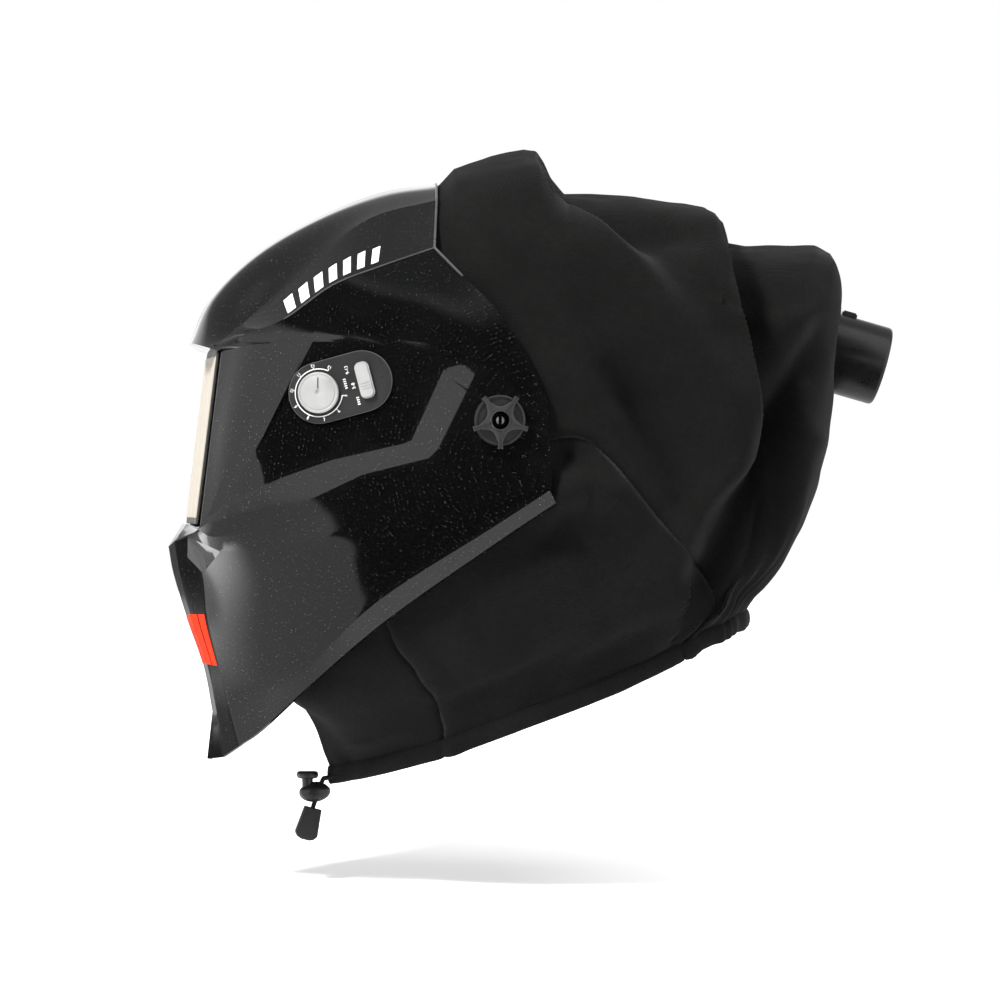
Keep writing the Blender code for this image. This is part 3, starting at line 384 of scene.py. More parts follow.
def sink_recess(bm, region):
    """Cuts the half shell along the recess's edges and drops what is inside to its floor."""
    sides = range(len(RECESS_RIM))
    for outline in (RECESS_RIM, RECESS_FLOOR):
        for first, second in closed_pairs(outline):
            cut_along(bm, first, second)
    for rim, floor in zip(RECESS_RIM, RECESS_FLOOR):
        if rim != floor:
            cut_along(bm, rim, floor, 1.0)
    for outline, _ in FACETS:
        for first, second in closed_pairs(outline):
            cut_along(bm, first, second, 1.0)
    for face in bm.faces:
        spot = side_view(face)
        if face.calc_center_median().x < SIDE_FROM_X or not inside(spot, RECESS_RIM):
            face[region] = PLAIN
        elif inside(spot, RECESS_FLOOR):
            face[region] = FLOOR
        else:
            face[region] = SIDES + min(sides, key=lambda i: width_at(spot, i))
    moves = {}
    for vert in bm.verts:
        kinds = {f[region] for f in vert.link_faces}
        if PLAIN in kinds or not kinds:
            continue
        depth = max(0.0, vert.co.x - floor_x(vert.co.y, vert.co.z))
        if FLOOR not in kinds:
            depth *= across_share((vert.co.y, vert.co.z), max(kinds) - SIDES)
        moves[vert] = depth
    for vert, depth in moves.items():
        vert.co.x -= depth
    for face in bm.faces:
        for k, (outline, _) in enumerate(FACETS):
            if face[region] != FLOOR and inside(side_view(face), outline):
                face[region] = FACET_REGION + k


def half_shell():
    """Points in mm, faces, the normals of each face's corners, and each face's material."""
    grid = shell_grid()
    names = list(SHELL_LINES)
    top, bottom = (names.index(name) for name in ("window_top", "window_bottom"))
    bm = bmesh.new()
    region = bm.faces.layers.int.new("region")
    shade_strip_layer = bm.faces.layers.int.new("shade_strip_layer")
    first_layer = bm.loops.layers.uv.new("normal_xy")
    second_layer = bm.loops.layers.uv.new("normal_z")
    verts = [[bm.verts.new(p) for p in row] for row in grid]
    n = SHELL_STEPS
    for (i, j), normals in patch_normals(grid).items():
        if top <= i < bottom and j < WINDOW_STATIONS:
            continue
        for r in range(n):
            for c in range(n):
                corners = [(r, c), (r + 1, c), (r + 1, c + 1), (r, c + 1)]
                face = bm.faces.new([verts[i * n + a][j * n + b] for a, b in corners])
                # Faces of the chin's front strip, which get the less reflective lacquer as painted
                # shade.
                face[shade_strip_layer] = int(i >= CHIN_LINE and j < WINDOW_STATIONS)
                for loop, corner in zip(face.loops, corners):
                    x, y, z = normals[corner]
                    loop[first_layer].uv = (x, y)
                    loop[second_layer].uv = (z, 0.0)
    bmesh.ops.delete(bm, geom=[v for v in bm.verts if not v.link_faces], context="VERTS")
    sink_recess(bm, region)
    for vert in bm.verts:
        if abs(vert.co.x) < ON_CENTRE:
            vert.co.x = 0.0
    bm.verts.index_update()
    bm.normal_update()
    shared = {}
    for face in bm.faces:
        if face[region]:
            for vert in face.verts:
                key = (vert.index, face[region])
                shared[key] = shared.get(key, Vector()) + face.normal * face.calc_area()
    points = np.array([v.co[:] for v in bm.verts])
    faces, corner_normals, shade_strip_flags = [], [], []
    for face in bm.faces:
        faces.append([v.index for v in face.verts])
        shade_strip_flags.append(face[shade_strip_layer] if face[region] < FACET_REGION else 0)
        corner_normals.append([])
        for loop in face.loops:
            if face[region] >= FACET_REGION:
                normal = FACETS[face[region] - FACET_REGION][1]
            elif face[region]:
                normal = shared[loop.vert.index, face[region]]
            else:
                normal = [*loop[first_layer].uv, loop[second_layer].uv[0]]
            corner_normals[-1].append(unit(np.array(normal)))
    bm.free()
    return points, faces, corner_normals, shade_strip_flags


def make_shell():
    """Both halves, with an inner skin and a rim, as one mesh with its own normals."""
    points, faces, corners, shade_strip_flags = half_shell()
    outward = np.zeros_like(points)
    for face, normals in zip(faces, corners):
        for index, normal in zip(face, normals):
            outward[index] += normal
    outward = unit(outward)
    centre = np.abs(points[:, 0]) < ON_CENTRE
    outward[centre, 0] = 0
    outward = unit(outward)
    index_of = np.arange(len(points))
    index_of[~centre] = len(points) + np.arange((~centre).sum())
    outer = np.vstack([points, points[~centre] * MIRROR])
    skin = np.vstack([outward, outward[~centre] * MIRROR])
    faces += [[int(index_of[i]) for i in reversed(face)] for face in faces]
    corners += [[normal * MIRROR for normal in reversed(normals)] for normals in corners]
    edges = dict.fromkeys(edge for face in faces for edge in closed_pairs(face))
    total = len(outer)
    rim = [[b, a, a + total, b + total] for a, b in edges if (b, a) not in edges]
    whole = np.vstack([outer, outer - skin * SHELL_THICKNESS])
    normals = [normal for face in corners for normal in face]
    normals += [-normal for face in corners for normal in reversed(face)]
    for a, b, c, _ in rim:
        normals += [unit(np.cross(whole[b] - whole[a], whole[c] - whole[a]))] * 4
    lining = [[i + total for i in reversed(face)] for face in faces]
    shell = mesh_object("shell", whole * MM, faces + lining + rim, GLOSS)
    shell.data.materials.append(SHADED_GLOSS_BLACK)
    for polygon, flag in zip(shell.data.polygons, shade_strip_flags * 2):
        polygon.material_index = flag
    shell.data.normals_split_custom_set([tuple(normal) for normal in normals])
    return shell


# ---- materials -----------------------------------------------------------------------
def new_material(name):
    made = bpy.data.materials.new(name)
    made.use_nodes = True
    tree = made.node_tree
    return made, tree, tree.nodes["Principled BSDF"]


def feed(tree, made, inputs):
    """Sets a node's inputs, or links them where the value is another node's output."""
    for key, value in inputs.items():
        if isinstance(value, bpy.types.NodeSocket):
            tree.links.new(value, made.inputs[key])
        else:
            made.inputs[key].default_value = value


def node(tree, kind, inputs=None, **settings):
    made = tree.nodes.new(kind)
    for key, value in settings.items():
        setattr(made, key, value)
    feed(tree, made, inputs or {})
    return made


def math_of(tree, operation, *values):
    return node(tree, "ShaderNodeMath", dict(enumerate(values)), operation=operation).outputs[0]


def coordinates(tree):
    return node(tree, "ShaderNodeTexCoord").outputs["Object"]


def noise_of(tree, scale, detail=3.0, rough=0.55, stretch=None):
    source = coordinates(tree)
    if stretch:
        source = node(tree, "ShaderNodeMapping", {"Scale": stretch, "Vector": source}).outputs[0]
    return node(tree, "ShaderNodeTexNoise", {"Scale": scale, "Detail": detail,
                                             "Roughness": rough, "Vector": source}).outputs["Fac"]


def ramp(tree, factor, stops):
    made = node(tree, "ShaderNodeValToRGB", {"Fac": factor})
    elements = made.color_ramp.elements
    while len(elements) < len(stops):
        elements.new(0.5)
    for element, (at, value) in zip(elements, stops):
        element.position = at
        colour = value if hasattr(value, "__len__") else (value,) * 3
        element.color = (*colour, 1.0)
    return made.outputs["Color"]


def bump(tree, height, strength, distance, **below):
    made = node(tree, "ShaderNodeBump", {"Strength": strength, "Distance": distance,
                                         "Height": height, **below})
    return made.outputs["Normal"]


def shade(colour, factor):
    return tuple(min(1, c * factor) for c in colour)


FLAKE_SCALE, FLAKE_SIZE, FLAKE_RARITY = 1700.0, 0.21, 0.84
LACQUER = (0.0022, 0.0022, 0.0023, 1)


def gloss_black(name, ior):
    """Black gloss lacquer with sparse pale flakes under it."""
    made, tree, shader = new_material(name)
    cells = node(tree, "ShaderNodeTexVoronoi", {"Scale": FLAKE_SCALE, "Vector": coordinates(tree)})
    parts = node(tree, "ShaderNodeSeparateColor", {"Color": cells.outputs["Color"]})
    spot = math_of(tree, "LESS_THAN", cells.outputs["Distance"], FLAKE_SIZE)
    chosen = math_of(tree, "GREATER_THAN", parts.outputs["Red"], FLAKE_RARITY)
    bright = ramp(tree, parts.outputs["Green"], [(0.0, 0.02), (0.6, 0.06), (1.0, 0.30)])
    mix = node(tree, "ShaderNodeMix", {"Factor": math_of(tree, "MULTIPLY", spot, chosen),
                                       "A": LACQUER, "B": bright}, data_type="RGBA")
    feed(tree, shader, {"Base Color": mix.outputs["Result"], "Roughness": 0.045, "IOR": ior})
    return made


def moulded(name, colour, roughness, grain=0.25, scale=900.0):
    """Moulded plastic: a fine grain, and slightly uneven colour and gloss."""
    made, tree, shader = new_material(name)
    tone = [(0.3, shade(colour, 0.8)), (0.7, shade(colour, 1.2))]
    gloss = [(0.3, roughness * 0.85), (0.7, roughness * 1.15)]
    feed(tree, shader, {"Base Color": ramp(tree, noise_of(tree, 35.0), tone),
                        "Roughness": ramp(tree, noise_of(tree, 140.0), gloss),
                        "Normal": bump(tree, noise_of(tree, scale), grain, 0.0002)})
    return made


def cloth(name, colour, pitch, coarse=1.0):
    """A twill weave with faint slubs and a low sheen, at pitch metres a thread."""
    made, tree, shader = new_material(name)
    waves = []
    for turn in ((0.0, 0.0, 0.9), (0.0, 0.9, -0.7), (0.8, 0.0, 0.0)):
        mapping = node(tree, "ShaderNodeMapping", {"Rotation": turn, "Vector": coordinates(tree)})
        inputs = {"Scale": 0.32 / pitch, "Distortion": 1.2, "Detail": 1.0,
                  "Vector": mapping.outputs["Vector"]}
        waves.append(node(tree, "ShaderNodeTexWave", inputs, wave_type="BANDS",
                          bands_direction="DIAGONAL").outputs["Fac"])
    weave = math_of(tree, "MULTIPLY_ADD", waves[2], 0.5,
                    math_of(tree, "ADD", waves[0], waves[1]))
    slub = noise_of(tree, 260.0, 4.0, 0.7)
    half = math_of(tree, "MULTIPLY", noise_of(tree, 22.0), 0.5)
    both = math_of(tree, "MULTIPLY_ADD", slub, 0.5, half)
    fine = bump(tree, weave, 0.5 * coarse, 0.00022)
    feed(tree, shader, {
        "Base Color": ramp(tree, both, [(0.45, shade(colour, 0.75)), (0.62, colour)]),
        "Normal": bump(tree, slub, 0.25 * coarse, 0.0006, Normal=fine),
        "Roughness": 0.9, "Specular IOR Level": 0.12,
        "Sheen Weight": 0.03, "Sheen Roughness": 0.5})
    return made


def metal(name, colour, roughness):
    made, tree, shader = new_material(name)
    streaks = noise_of(tree, 300.0, 4.0, 0.6, (1.0, 1.0, 9.0))
    gloss = [(0.3, roughness * 0.7), (0.7, roughness * 1.3)]
    feed(tree, shader, {
        "Base Color": ramp(tree, streaks, [(0.3, shade(colour, 0.8)), (0.7, colour)]),
        "Roughness": ramp(tree, streaks, gloss), "Metallic": 1.0})
    return made


def tinted(name, colour, roughness, alpha=1.0):
    """A polished plate with a trace of uneven wiping."""
    made, tree, shader = new_material(name)
    haze = noise_of(tree, 60.0, 4.0)
    feed(tree, shader, {
        "Base Color": ramp(tree, haze, [(0.3, shade(colour, 0.93)), (0.7, colour)]),
        "Roughness": ramp(tree, haze, [(0.35, roughness), (0.75, roughness * 1.8)]),
        "Alpha": alpha})
    return made


GLOSS = gloss_black("gloss_black_flake", 1.5)
# A less reflective copy of the lacquer, as painted shade on the chin's front strip.
SHADED_GLOSS_BLACK = gloss_black("gloss_black_painted_shade", 1.14)
# Dark grey, lighter than the black lacquer: painted highlight along the shell's crest, window and
# rear edges.
HIGHLIGHT_BEAD = moulded("bead_painted_highlight", (0.05, 0.05, 0.05), 0.3, 0.05)
SATIN = moulded("satin_black", (0.016, 0.016, 0.0165), 0.34)
SOFT = moulded("soft_black", (0.011, 0.011, 0.011), 0.5)
PANEL = moulded("panel_grey", (0.017, 0.017, 0.0175), 0.42)
SMOKED = moulded("smoked_plastic", (0.024, 0.024, 0.025), 0.16, 0.1)
# Mid grey on a satin black part: painted highlight along the control plate's rim.
RIM_HIGHLIGHT = moulded("panel_edge_painted_highlight", (0.10, 0.10, 0.10), 0.4, 0.1)
SEAL = moulded("seal_rubber", (0.035, 0.035, 0.035), 0.6, 0.15)
# Near black: painted shade on the bolt seen down the knob's bore, and the dark print of the dial
# pointer.
SHADE_AND_PRINT_BLACK = moulded("black_painted_shade_and_print", (0.002, 0.002, 0.002), 0.8, 0.1)
TUBE = moulded("spigot_plastic", (0.006, 0.006, 0.006), 0.3, 0.08)
PALE = moulded("pale_plastic", (0.32, 0.32, 0.315), 0.5, 0.12)
PRINT = moulded("white_print", (0.80, 0.80, 0.79), 0.5, 0.1)
ORANGE = moulded("orange_print", (0.72, 0.028, 0.004), 0.55, 0.1)
GOLD = tinted("gold_cover", (0.40, 0.362, 0.305), 0.4)
for quiet in (ORANGE, GOLD):
    quiet.node_tree.nodes["Principled BSDF"].inputs["Specular IOR Level"].default_value = 0.08
GREEN = tinted("green_glass", (0.012, 0.03, 0.018), 0.05)
CELL = tinted("solar_cell", (0.008, 0.01, 0.035), 0.15)
CLEAR = tinted("clear_plastic", (0.85, 0.87, 0.85), 0.05, alpha=0.3)
STEEL = metal("zinc_steel", (0.55, 0.55, 0.55), 0.3)
FOAM = cloth("towelling", (0.02, 0.02, 0.02), 0.0016, 1.6)
FABRIC = cloth("black_twill", (0.0062, 0.0062, 0.0060), 0.0009)
CORD = cloth("braided_cord", (0.014, 0.014, 0.014), 0.0012, 1.5)


# ---- the hood ------------------------------------------------------------------------
HOOD_LINES = [
    [(0, -40, 124), (50, -42, 114), (83, -43, 87), (95, -27, 73), (109, 13, 24),
     (112, 22, -12), (111, 16, -44), (104, -24, -72), (86, -64, -104),
     (46, -108, -146), (0, -122, -150)],
    [(0, 14, 152), (54, 10, 140), (90, 6, 109), (106, 18, 70), (113, 40, 26),
     (115, 45, -10), (112, 32, -70), (103, -10, -98), (84, -56, -126),
     (46, -100, -157), (0, -112, -157)],
    [(0, 50, 134), (52, 46, 126), (90, 42, 100), (108, 48, 60), (114, 58, 16),
     (113, 62, -21), (109, 40, -84), (100, 2, -112), (82, -46, -139),
     (45, -92, -164), (0, -104, -162)],
    [(0, 92, 128), (56, 90, 119), (90, 84, 92), (106, 84, 48), (110, 84, 4),
     (108, 79, -41), (103, 50, -96), (95, 12, -124), (78, -40, -148),
     (44, -84, -169), (0, -100, -167)],
    [(0, 138, 118), (56, 136, 108), (87, 128, 78), (100, 120, 34), (104, 110, -12),
     (102, 95, -60), (97, 58, -108), (90, 18, -132), (75, -34, -155),
     (43, -78, -174), (0, -97, -172)],
    [(0, 201, 97), (48, 194, 90), (80, 172, 60), (94, 152, 18), (97, 134, -30),
     (95, 112, -78), (91, 66, -118), (84, 22, -138), (71, -31, -161),
     (42, -74, -179), (0, -94, -178)],
    [(0, 202, 32), (48, 197, 24), (78, 184, 2), (89, 164, -28), (90, 146, -60),
     (87, 124, -94), (84, 72, -124), (80, 22, -147), (68, -29, -168),
     (41, -71, -184), (0, -92, -184)],
    [(0, 186, -44), (42, 183, -50), (68, 170, -62), (79, 154, -78), (82, 140, -94),
     (80, 126, -108), (81, 74, -134), (77, 20, -156), (65, -27, -174),
     (38, -68, -188), (0, -90, -190)],
    [(0, 150, -106), (36, 148, -108), (57, 140, -111), (67, 131, -115), (72, 120, -119),
     (75, 108, -126), (79, 66, -145), (75, 16, -164), (61, -27, -180),
     (36, -66, -192), (0, -87, -197)],
]
# The top of the hood from the shell's rear edge back, as (y, z).
TOP_LINE = [(-40, 124), (-25, 135), (-16, 145), (5, 152), (24, 155.5), (31, 154.5),
            (35, 148), (39, 139), (47, 130), (63, 130), (88, 129.5), (116, 126), (128, 123.5),
            (136, 117), (138.5, 109), (140, 102), (151, 100.5), (165, 101), (192, 101),
            (201, 97)]
MAIN_SEAM, THROAT_SEAM = 5, 8
HOOD_ACROSS, HOOD_DOWN = 16, 28
SIDE_SLANT = 0.0875  # folds are drawn in a side view turned this much from square
FOLD_GAIN = 1.3
BROAD_RIPPLE, FINE_RIPPLE, GATHER = 2.2, 0.8, 1.3
SEAM_DEPTH, SEAM_RIDGE = 1.6, 1.1
BESIDE_TOP = (0.5, 1.9)  # stations over which the folds set in beside the top line
TOP_FADE = (5.0, 5.2)  # lines over which the top line's own height ends

# Each step fold: a line in that side view, the rise in front of it and the drop behind it
# at its two ends and middle, and how far each reaches, in mm.
STEP_FOLDS = [
    ([(33, 160), (36, 149), (47, 129), (80, 101), (108, 76), (121, 69)],
     (13, 8, 1), (14, 10, 2), 34, 30),
    ([(133, 128), (138, 99), (142, 83), (146, 62), (151, 45), (155, 22), (158, 4),
      (160, -11), (159, -24), (151, -34), (140, -43), (128, -57), (123, -72), (119, -87)],
     (12, 9, 6), (13, 13, 9), 30, 26),
]
# Each soft fold: a line, its height at the start, middle and end (a valley is negative),
# and its half width.
SOFT_FOLDS = [
    ([(62, 52), (74, 31), (91, 7), (104, -19), (113, -45)], (-3, -14, -9), 13),
    ([(58, 96), (86, 76), (112, 46), (134, 12), (142, -20)], (2, 9, 7), 16),
    ([(196, 50), (190, 36), (178, 13), (165, -12), (157, -34), (146, -60), (132, -86)],
     (-8, -15, -9), 11),
    ([(150, 52), (172, 56), (198, 60)], (1, 5, 3), 10),
    ([(36, -12), (50, -20), (66, -32)], (-8, -8, -3), 9),
    ([(42, -42), (60, -34), (76, -40), (96, -62)], (6, 11, 4), 11),
    ([(20, -66), (46, -58), (72, -72)], (-2, -5, -1), 12),
    ([(192, -12), (184, -34), (174, -58), (158, -92)], (5, 7, 3), 8),
    ([(176, -20), (168, -48), (158, -74), (148, -100)], (-3, -6, -4), 6),
    ([(10, 128), (16, 100), (30, 60)], (-1, -4, -1), 14),
    ([(60, 118), (96, 108), (122, 96)], (-3, -5, -2), 10),
    ([(96, 96), (118, 84), (134, 62)], (2, 6, 3), 11),
]


def to_polyline(point, line):
    """Distance to a line in the side view, how far along it, and which side of it."""
    best = (1e9, 0.0, 1.0)
    total = len(line) - 1
    for i, ((ay, az), (by, bz)) in enumerate(zip(line, line[1:])):
        dy, dz = by - ay, bz - az
        py, pz = point[0] - ay, point[1] - az
        raw = (py * dy + pz * dz) / max(dy * dy + dz * dz, 1e-9)
        share = min(1.0, max(0.0, raw))
        gap = math.hypot(py - share * dy, pz - share * dz)
        if gap < best[0]:
            cross = dy * pz - dz * py
            best = (gap, (i + share) / total, 1.0 if cross > 0 else -1.0)
    return best


def height_along(heights, share):
    start, middle, end = heights
    if share < 0.5:
        return start + (middle - start) * smoothstep(0, 0.5, share)
    return middle + (end - middle) * smoothstep(0.5, 1, share)


def fold_height(u, z):
    total = 0.0
    for line, rise, drop, front, rear in STEP_FOLDS:
        gap, share, side = to_polyline((u, z), line)
        signed = gap * side
        soft = 4.0 + 9.0 * smoothstep(0.45, 0.85, share)
        past = smoothstep(-soft, soft, signed)
        total += (1 - past) * height_along(rise, share) * math.exp(-(gap / front) ** 2)
        total -= past * height_along(drop, share) * math.exp(-(gap / rear) ** 2)
    for line, heights, width in SOFT_FOLDS:
        gap, share, _ = to_polyline((u, z), line)
        total += height_along(heights, share) * math.exp(-(gap / width) ** 2)
    return total


def grid_normals(grid):
    return unit(np.cross(np.gradient(grid, axis=0), np.gradient(grid, axis=1)))


def top_height(y):
    for (y1, z1), (y2, z2) in zip(TOP_LINE, TOP_LINE[1:]):
        if y1 <= y <= y2:
            return z1 + (z2 - z1) * (y - y1) / (y2 - y1)
    return None


def hood_grid():
    """The left half of the hood, with its folds, in mm."""
    lines = [smooth_line(as_points(line), HOOD_ACROSS) for line in HOOD_LINES]
    columns = [smooth_line([line[c] for line in lines], HOOD_DOWN)
               for c in range(len(lines[0]))]
    grid = np.array(columns).transpose(1, 0, 2)
    out = grid_normals(grid)
    if out[len(out) // 3, out.shape[1] // 2, 0] < 0:
        out = -out
    rows, cols = grid.shape[:2]
    moved = grid.copy()
    for r in range(rows):
        front = smoothstep(0, 0.9 * HOOD_DOWN, r)
        rear = 1 - smoothstep(rows - 1.3 * HOOD_DOWN, rows - 1, r)
        for c in range(cols):
            x, y, z = grid[r, c]
            u = y + SIDE_SLANT * abs(x)
            station = c / HOOD_ACROSS
            beside = smoothstep(*BESIDE_TOP, station)
            height = FOLD_GAIN * fold_height(u, z) * front * (0.25 + 0.75 * rear) * beside
            place = Vector((x, y, z)) * 0.02
            height += BROAD_RIPPLE * noise.noise(place) * front
            height += FINE_RIPPLE * noise.noise(place * 3.1 + Vector((7, 3, 1))) * front
            near_hem = smoothstep(rows - 1.7 * HOOD_DOWN, rows - 1, r)
            gather = math.sin(station * 10 + 1.7 * math.sin(station * 2.5)) * GATHER
            near_hem *= 1 - 0.8 * smoothstep(rows - 9, rows - 1, r)
            height += gather * near_hem * (1 - 0.7 * smoothstep(2.5, 5.2, station))
            for seam in (MAIN_SEAM, THROAT_SEAM):
                off = (station - seam) * 30
                height -= SEAM_DEPTH * math.exp(-(off / 1.3) ** 2) * front
                height += SEAM_RIDGE * math.exp(-((off + 4.2) / 3.4) ** 2) * front
            moved[r, c] += out[r, c] * height
        wanted = top_height(grid[r, 0, 1])
        if wanted is not None and r < TOP_FADE[1] * HOOD_DOWN:
            lift = wanted - grid[r, 0, 2]
            fade = 1 - smoothstep(*TOP_FADE, r / HOOD_DOWN)
            for c in range(cols):
                moved[r, c, 2] += lift * fade * (1 - smoothstep(0.9, 2.3, c / HOOD_ACROSS))
    moved[:, (0, -1), 0] = 0.0
    return moved


def cloth_sheet(name, grid, thickness, look):
    """A grid of points in mm as a sheet with two skins and a rim."""
    normals = grid_normals(grid)
    flip = ((grid - np.array([0, 40, 0])) * normals).sum() < 0
    if flip:
        normals = -normals
    rows, cols = grid.shape[:2]
    outer = grid.reshape(-1, 3)
    inner = (grid - normals * thickness).reshape(-1, 3)
    total = rows * cols
    faces = []
    for r in range(rows - 1):
        for c in range(cols - 1):
            k = r * cols + c
            quad = [k, k + cols, k + cols + 1, k + 1]
            quad = quad[::-1] if flip else quad
            faces += [quad, [i + total for i in quad[::-1]]]
    border = ([(r * cols, (r + 1) * cols) for r in range(rows - 1)]
              + [((rows - 1) * cols + c, (rows - 1) * cols + c + 1) for c in range(cols - 1)]
              + [((r + 1) * cols + cols - 1, r * cols + cols - 1) for r in range(rows - 1)]
              + [(c + 1, c) for c in range(cols - 1)])
    for a, b in border:
        quad = [a, a + total, b + total, b]
        faces.append(quad[::-1] if flip else quad)
    return make_outward(mesh_object(name, np.vstack([outer, inner]) * MM, faces, look))


def both_halves(grid):
    """A half grid and its mirror image, joined along the column on the centre plane."""
    if abs(grid[0, 0, 0]) < 1e-6:
        return np.concatenate([(grid * MIRROR)[:, :0:-1], grid], axis=1)
    return np.concatenate([grid, (grid * MIRROR)[:, -2::-1]], axis=1)


def make_hood():
    grid = hood_grid()
    main, throat = MAIN_SEAM * HOOD_ACROSS, THROAT_SEAM * HOOD_ACROSS
    neck = grid[:, main:throat + 1]
    crown = cloth_sheet("hood_crown_cloth", both_halves(grid[:, :main + 1]),
                        FABRIC_THICKNESS, FABRIC)
    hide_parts("hood_crown_panel")
    left = cloth_sheet("hood_neck_cloth_left", neck, FABRIC_THICKNESS, FABRIC)
    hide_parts("hood_neck_panel_left")
    right = cloth_sheet("hood_neck_cloth_right", neck * MIRROR, FABRIC_THICKNESS, FABRIC)
    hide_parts("hood_neck_panel_right")
    front = cloth_sheet("hood_throat_cloth", both_halves(grid[:, throat:]),
                        FABRIC_THICKNESS, FABRIC)
    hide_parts("throat_panel")
    hem = make_hem(grid[-1])
    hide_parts("neck_hem")
    pieces = [crown, left, right, front, hem]
    return pieces, grid


HEM_HALF_WIDTH, HEM_HALF_HEIGHT, HEM_DROP = 2.2, 5.4, 4.4


def make_hem(edge):
    """The folded channel round the neck, which the drawcord runs through."""
    route = np.concatenate([edge[::-1] * MIRROR, edge[1:] if abs(edge[0, 0]) < 1e-6 else edge])
    steps = 20
    points = []
    run = 0.0
    for k, centre in enumerate(route):
        before, after = route[max(k - 1, 0)], route[min(k + 1, len(route) - 1)]
        run += np.linalg.norm(centre - before)
        heading = unit(after - before)
        side = unit(np.cross(heading, (0.0, 0.0, 1.0)))
        up = unit(np.cross(side, heading))
        pucker = 1 + 0.06 * math.sin(run / 2.9) + 0.05 * math.sin(run / 7.1 + 1)
        close = smoothstep(6, 14, abs(centre[0])) if centre[1] < -60 else 1.0
        wide = HEM_HALF_WIDTH * pucker * (0.7 + 0.3 * close)
        middle = centre - np.array([0, 0, HEM_DROP])
        for step in range(steps):
            angle = 2 * math.pi * step / steps
            points.append(middle + side * wide * math.cos(angle)
                          + up * HEM_HALF_HEIGHT * math.sin(angle))
    return make_outward(mesh_object("hood_hem", np.array(points) * MM,
                                    sleeve(len(route), steps), FABRIC))


# ---- shapes for the small pieces -----------------------------------------------------
def along(axis, at, up=(0, 0, 1)):
    """A frame at a point in mm whose local Z is axis and whose local Y is nearest to up."""
    z = Vector(axis).normalized()
    y = (Vector(up) - z * Vector(up).dot(z)).normalized()
    turn = Matrix((y.cross(z), y, z)).transposed().to_4x4()
    return Matrix.Translation(Vector(at) * MM) @ turn


def shifted(matrix, x, y, z=0.0):
    return matrix @ Matrix.Translation((x * MM, y * MM, z * MM))


def circle(radius, steps):
    turns = [2 * math.pi * k / steps for k in range(steps)]
    return [(radius * math.cos(t), radius * math.sin(t)) for t in turns]


def swung(x, y, angle_deg):
    """A point turned about the origin."""
    c, s = math.cos(math.radians(angle_deg)), math.sin(math.radians(angle_deg))
    return x * c - y * s, x * s + y * c


def turned(name, profile, look, matrix, steps=72):
    """A closed profile of (radius, height) in mm, turned about local Z."""
    bm = bmesh.new()
    rings = []
    for radius, height in profile:
        if radius < 1e-6:
            rings.append([bm.verts.new((0, 0, height * MM))] * steps)
            continue
        rings.append([bm.verts.new((x, y, height * MM)) for x, y in circle(radius * MM, steps)])
    pairs = list(zip(rings, rings[1:]))
    if profile[0][0] > 1e-6 and profile[-1][0] > 1e-6:
        pairs.append((rings[-1], rings[0]))
    for first, second in pairs:
        for k in range(steps):
            m = (k + 1) % steps
            corners = [first[k], first[m], second[m], second[k]]
            corners = [v for i, v in enumerate(corners) if v not in corners[:i]]
            if len(corners) > 2:
                bm.faces.new(corners)
    return from_bmesh(name, bm, look, matrix)


def plate(name, outline, low, high, look, matrix, bevel=0.0, segments=3, holes=()):
    """An outline in mm given depth from low to high along local Z, with rounded edges."""
    bm = bmesh.new()
    loops = [[[bm.verts.new((x * MM, y * MM, h * MM)) for x, y in ring] for h in (low, high)]
             for ring in (outline, *holes)]
    for bottom, top in loops:
        for (a, b), (c, d) in zip(closed_pairs(bottom), closed_pairs(top)):
            bm.faces.new((a, b, d, c))
    if holes:
        for level in (0, 1):
            edges = [bm.edges.get(pair) for loop in loops for pair in closed_pairs(loop[level])]
            bmesh.ops.triangle_fill(bm, edges=edges, use_beauty=True)
    else:
        bottom, top = loops[0]
        bm.faces.new(bottom[::-1])
        bm.faces.new(top)
    bmesh.ops.recalc_face_normals(bm, faces=bm.faces)
    if bevel:
        rims = [e for e in bm.edges if len(e.link_faces) == 2
                and e.calc_face_angle() > math.radians(60)
                and abs(e.verts[0].co.z - e.verts[1].co.z) < 1e-7]
        bmesh.ops.bevel(bm, geom=rims, offset=bevel * MM, segments=segments, affect="EDGES",
                        clamp_overlap=True)
    return from_bmesh(name, bm, look, matrix)


def flat_plate(name, outline, look, matrix):
    """A thin plate that stands for print."""
    return plate(name, outline, -PRINT_LIFT, PRINT_LIFT, look, matrix)


def block(name, size, look, matrix, bevel=0.4, segments=3):
    x, y, z = (s / 2 * MM for s in size)
    points = [(px, py, h) for h in (-z, z) for px, py in ((-x, -y), (x, -y), (x, y), (-x, y))]
    faces = [(3, 2, 1, 0), (4, 5, 6, 7), (0, 1, 5, 4), (1, 2, 6, 5), (2, 3, 7, 6), (3, 0, 4, 7)]
    bm = bmesh_of(points, faces)
    bmesh.ops.bevel(bm, geom=bm.edges[:], offset=bevel * MM, segments=segments,
                    affect="EDGES")
    return from_bmesh(name, bm, look, matrix)


def tube(name, route, radius, look, steps=12):
    """A round rod along points in mm, narrowed at its ends."""
    route = as_points(route)
    side = np.cross(unit(route[1] - route[0]), (0.3, 0.2, 1.0))
    last = len(route) - 1
    points = []
    for k, centre in enumerate(route):
        heading = unit(route[min(k + 1, last)] - route[max(k - 1, 0)])
        side = unit(side - heading * side.dot(heading))
        up = np.cross(side, heading)
        reach = radius * (0.7 if k in (0, last) else 1.0)
        points += [(centre + side * x + up * y) * MM for x, y in circle(reach, steps)]
    return from_bmesh(name, bmesh_of(points, sleeve(len(route), steps)), look, smooth_deg=50)


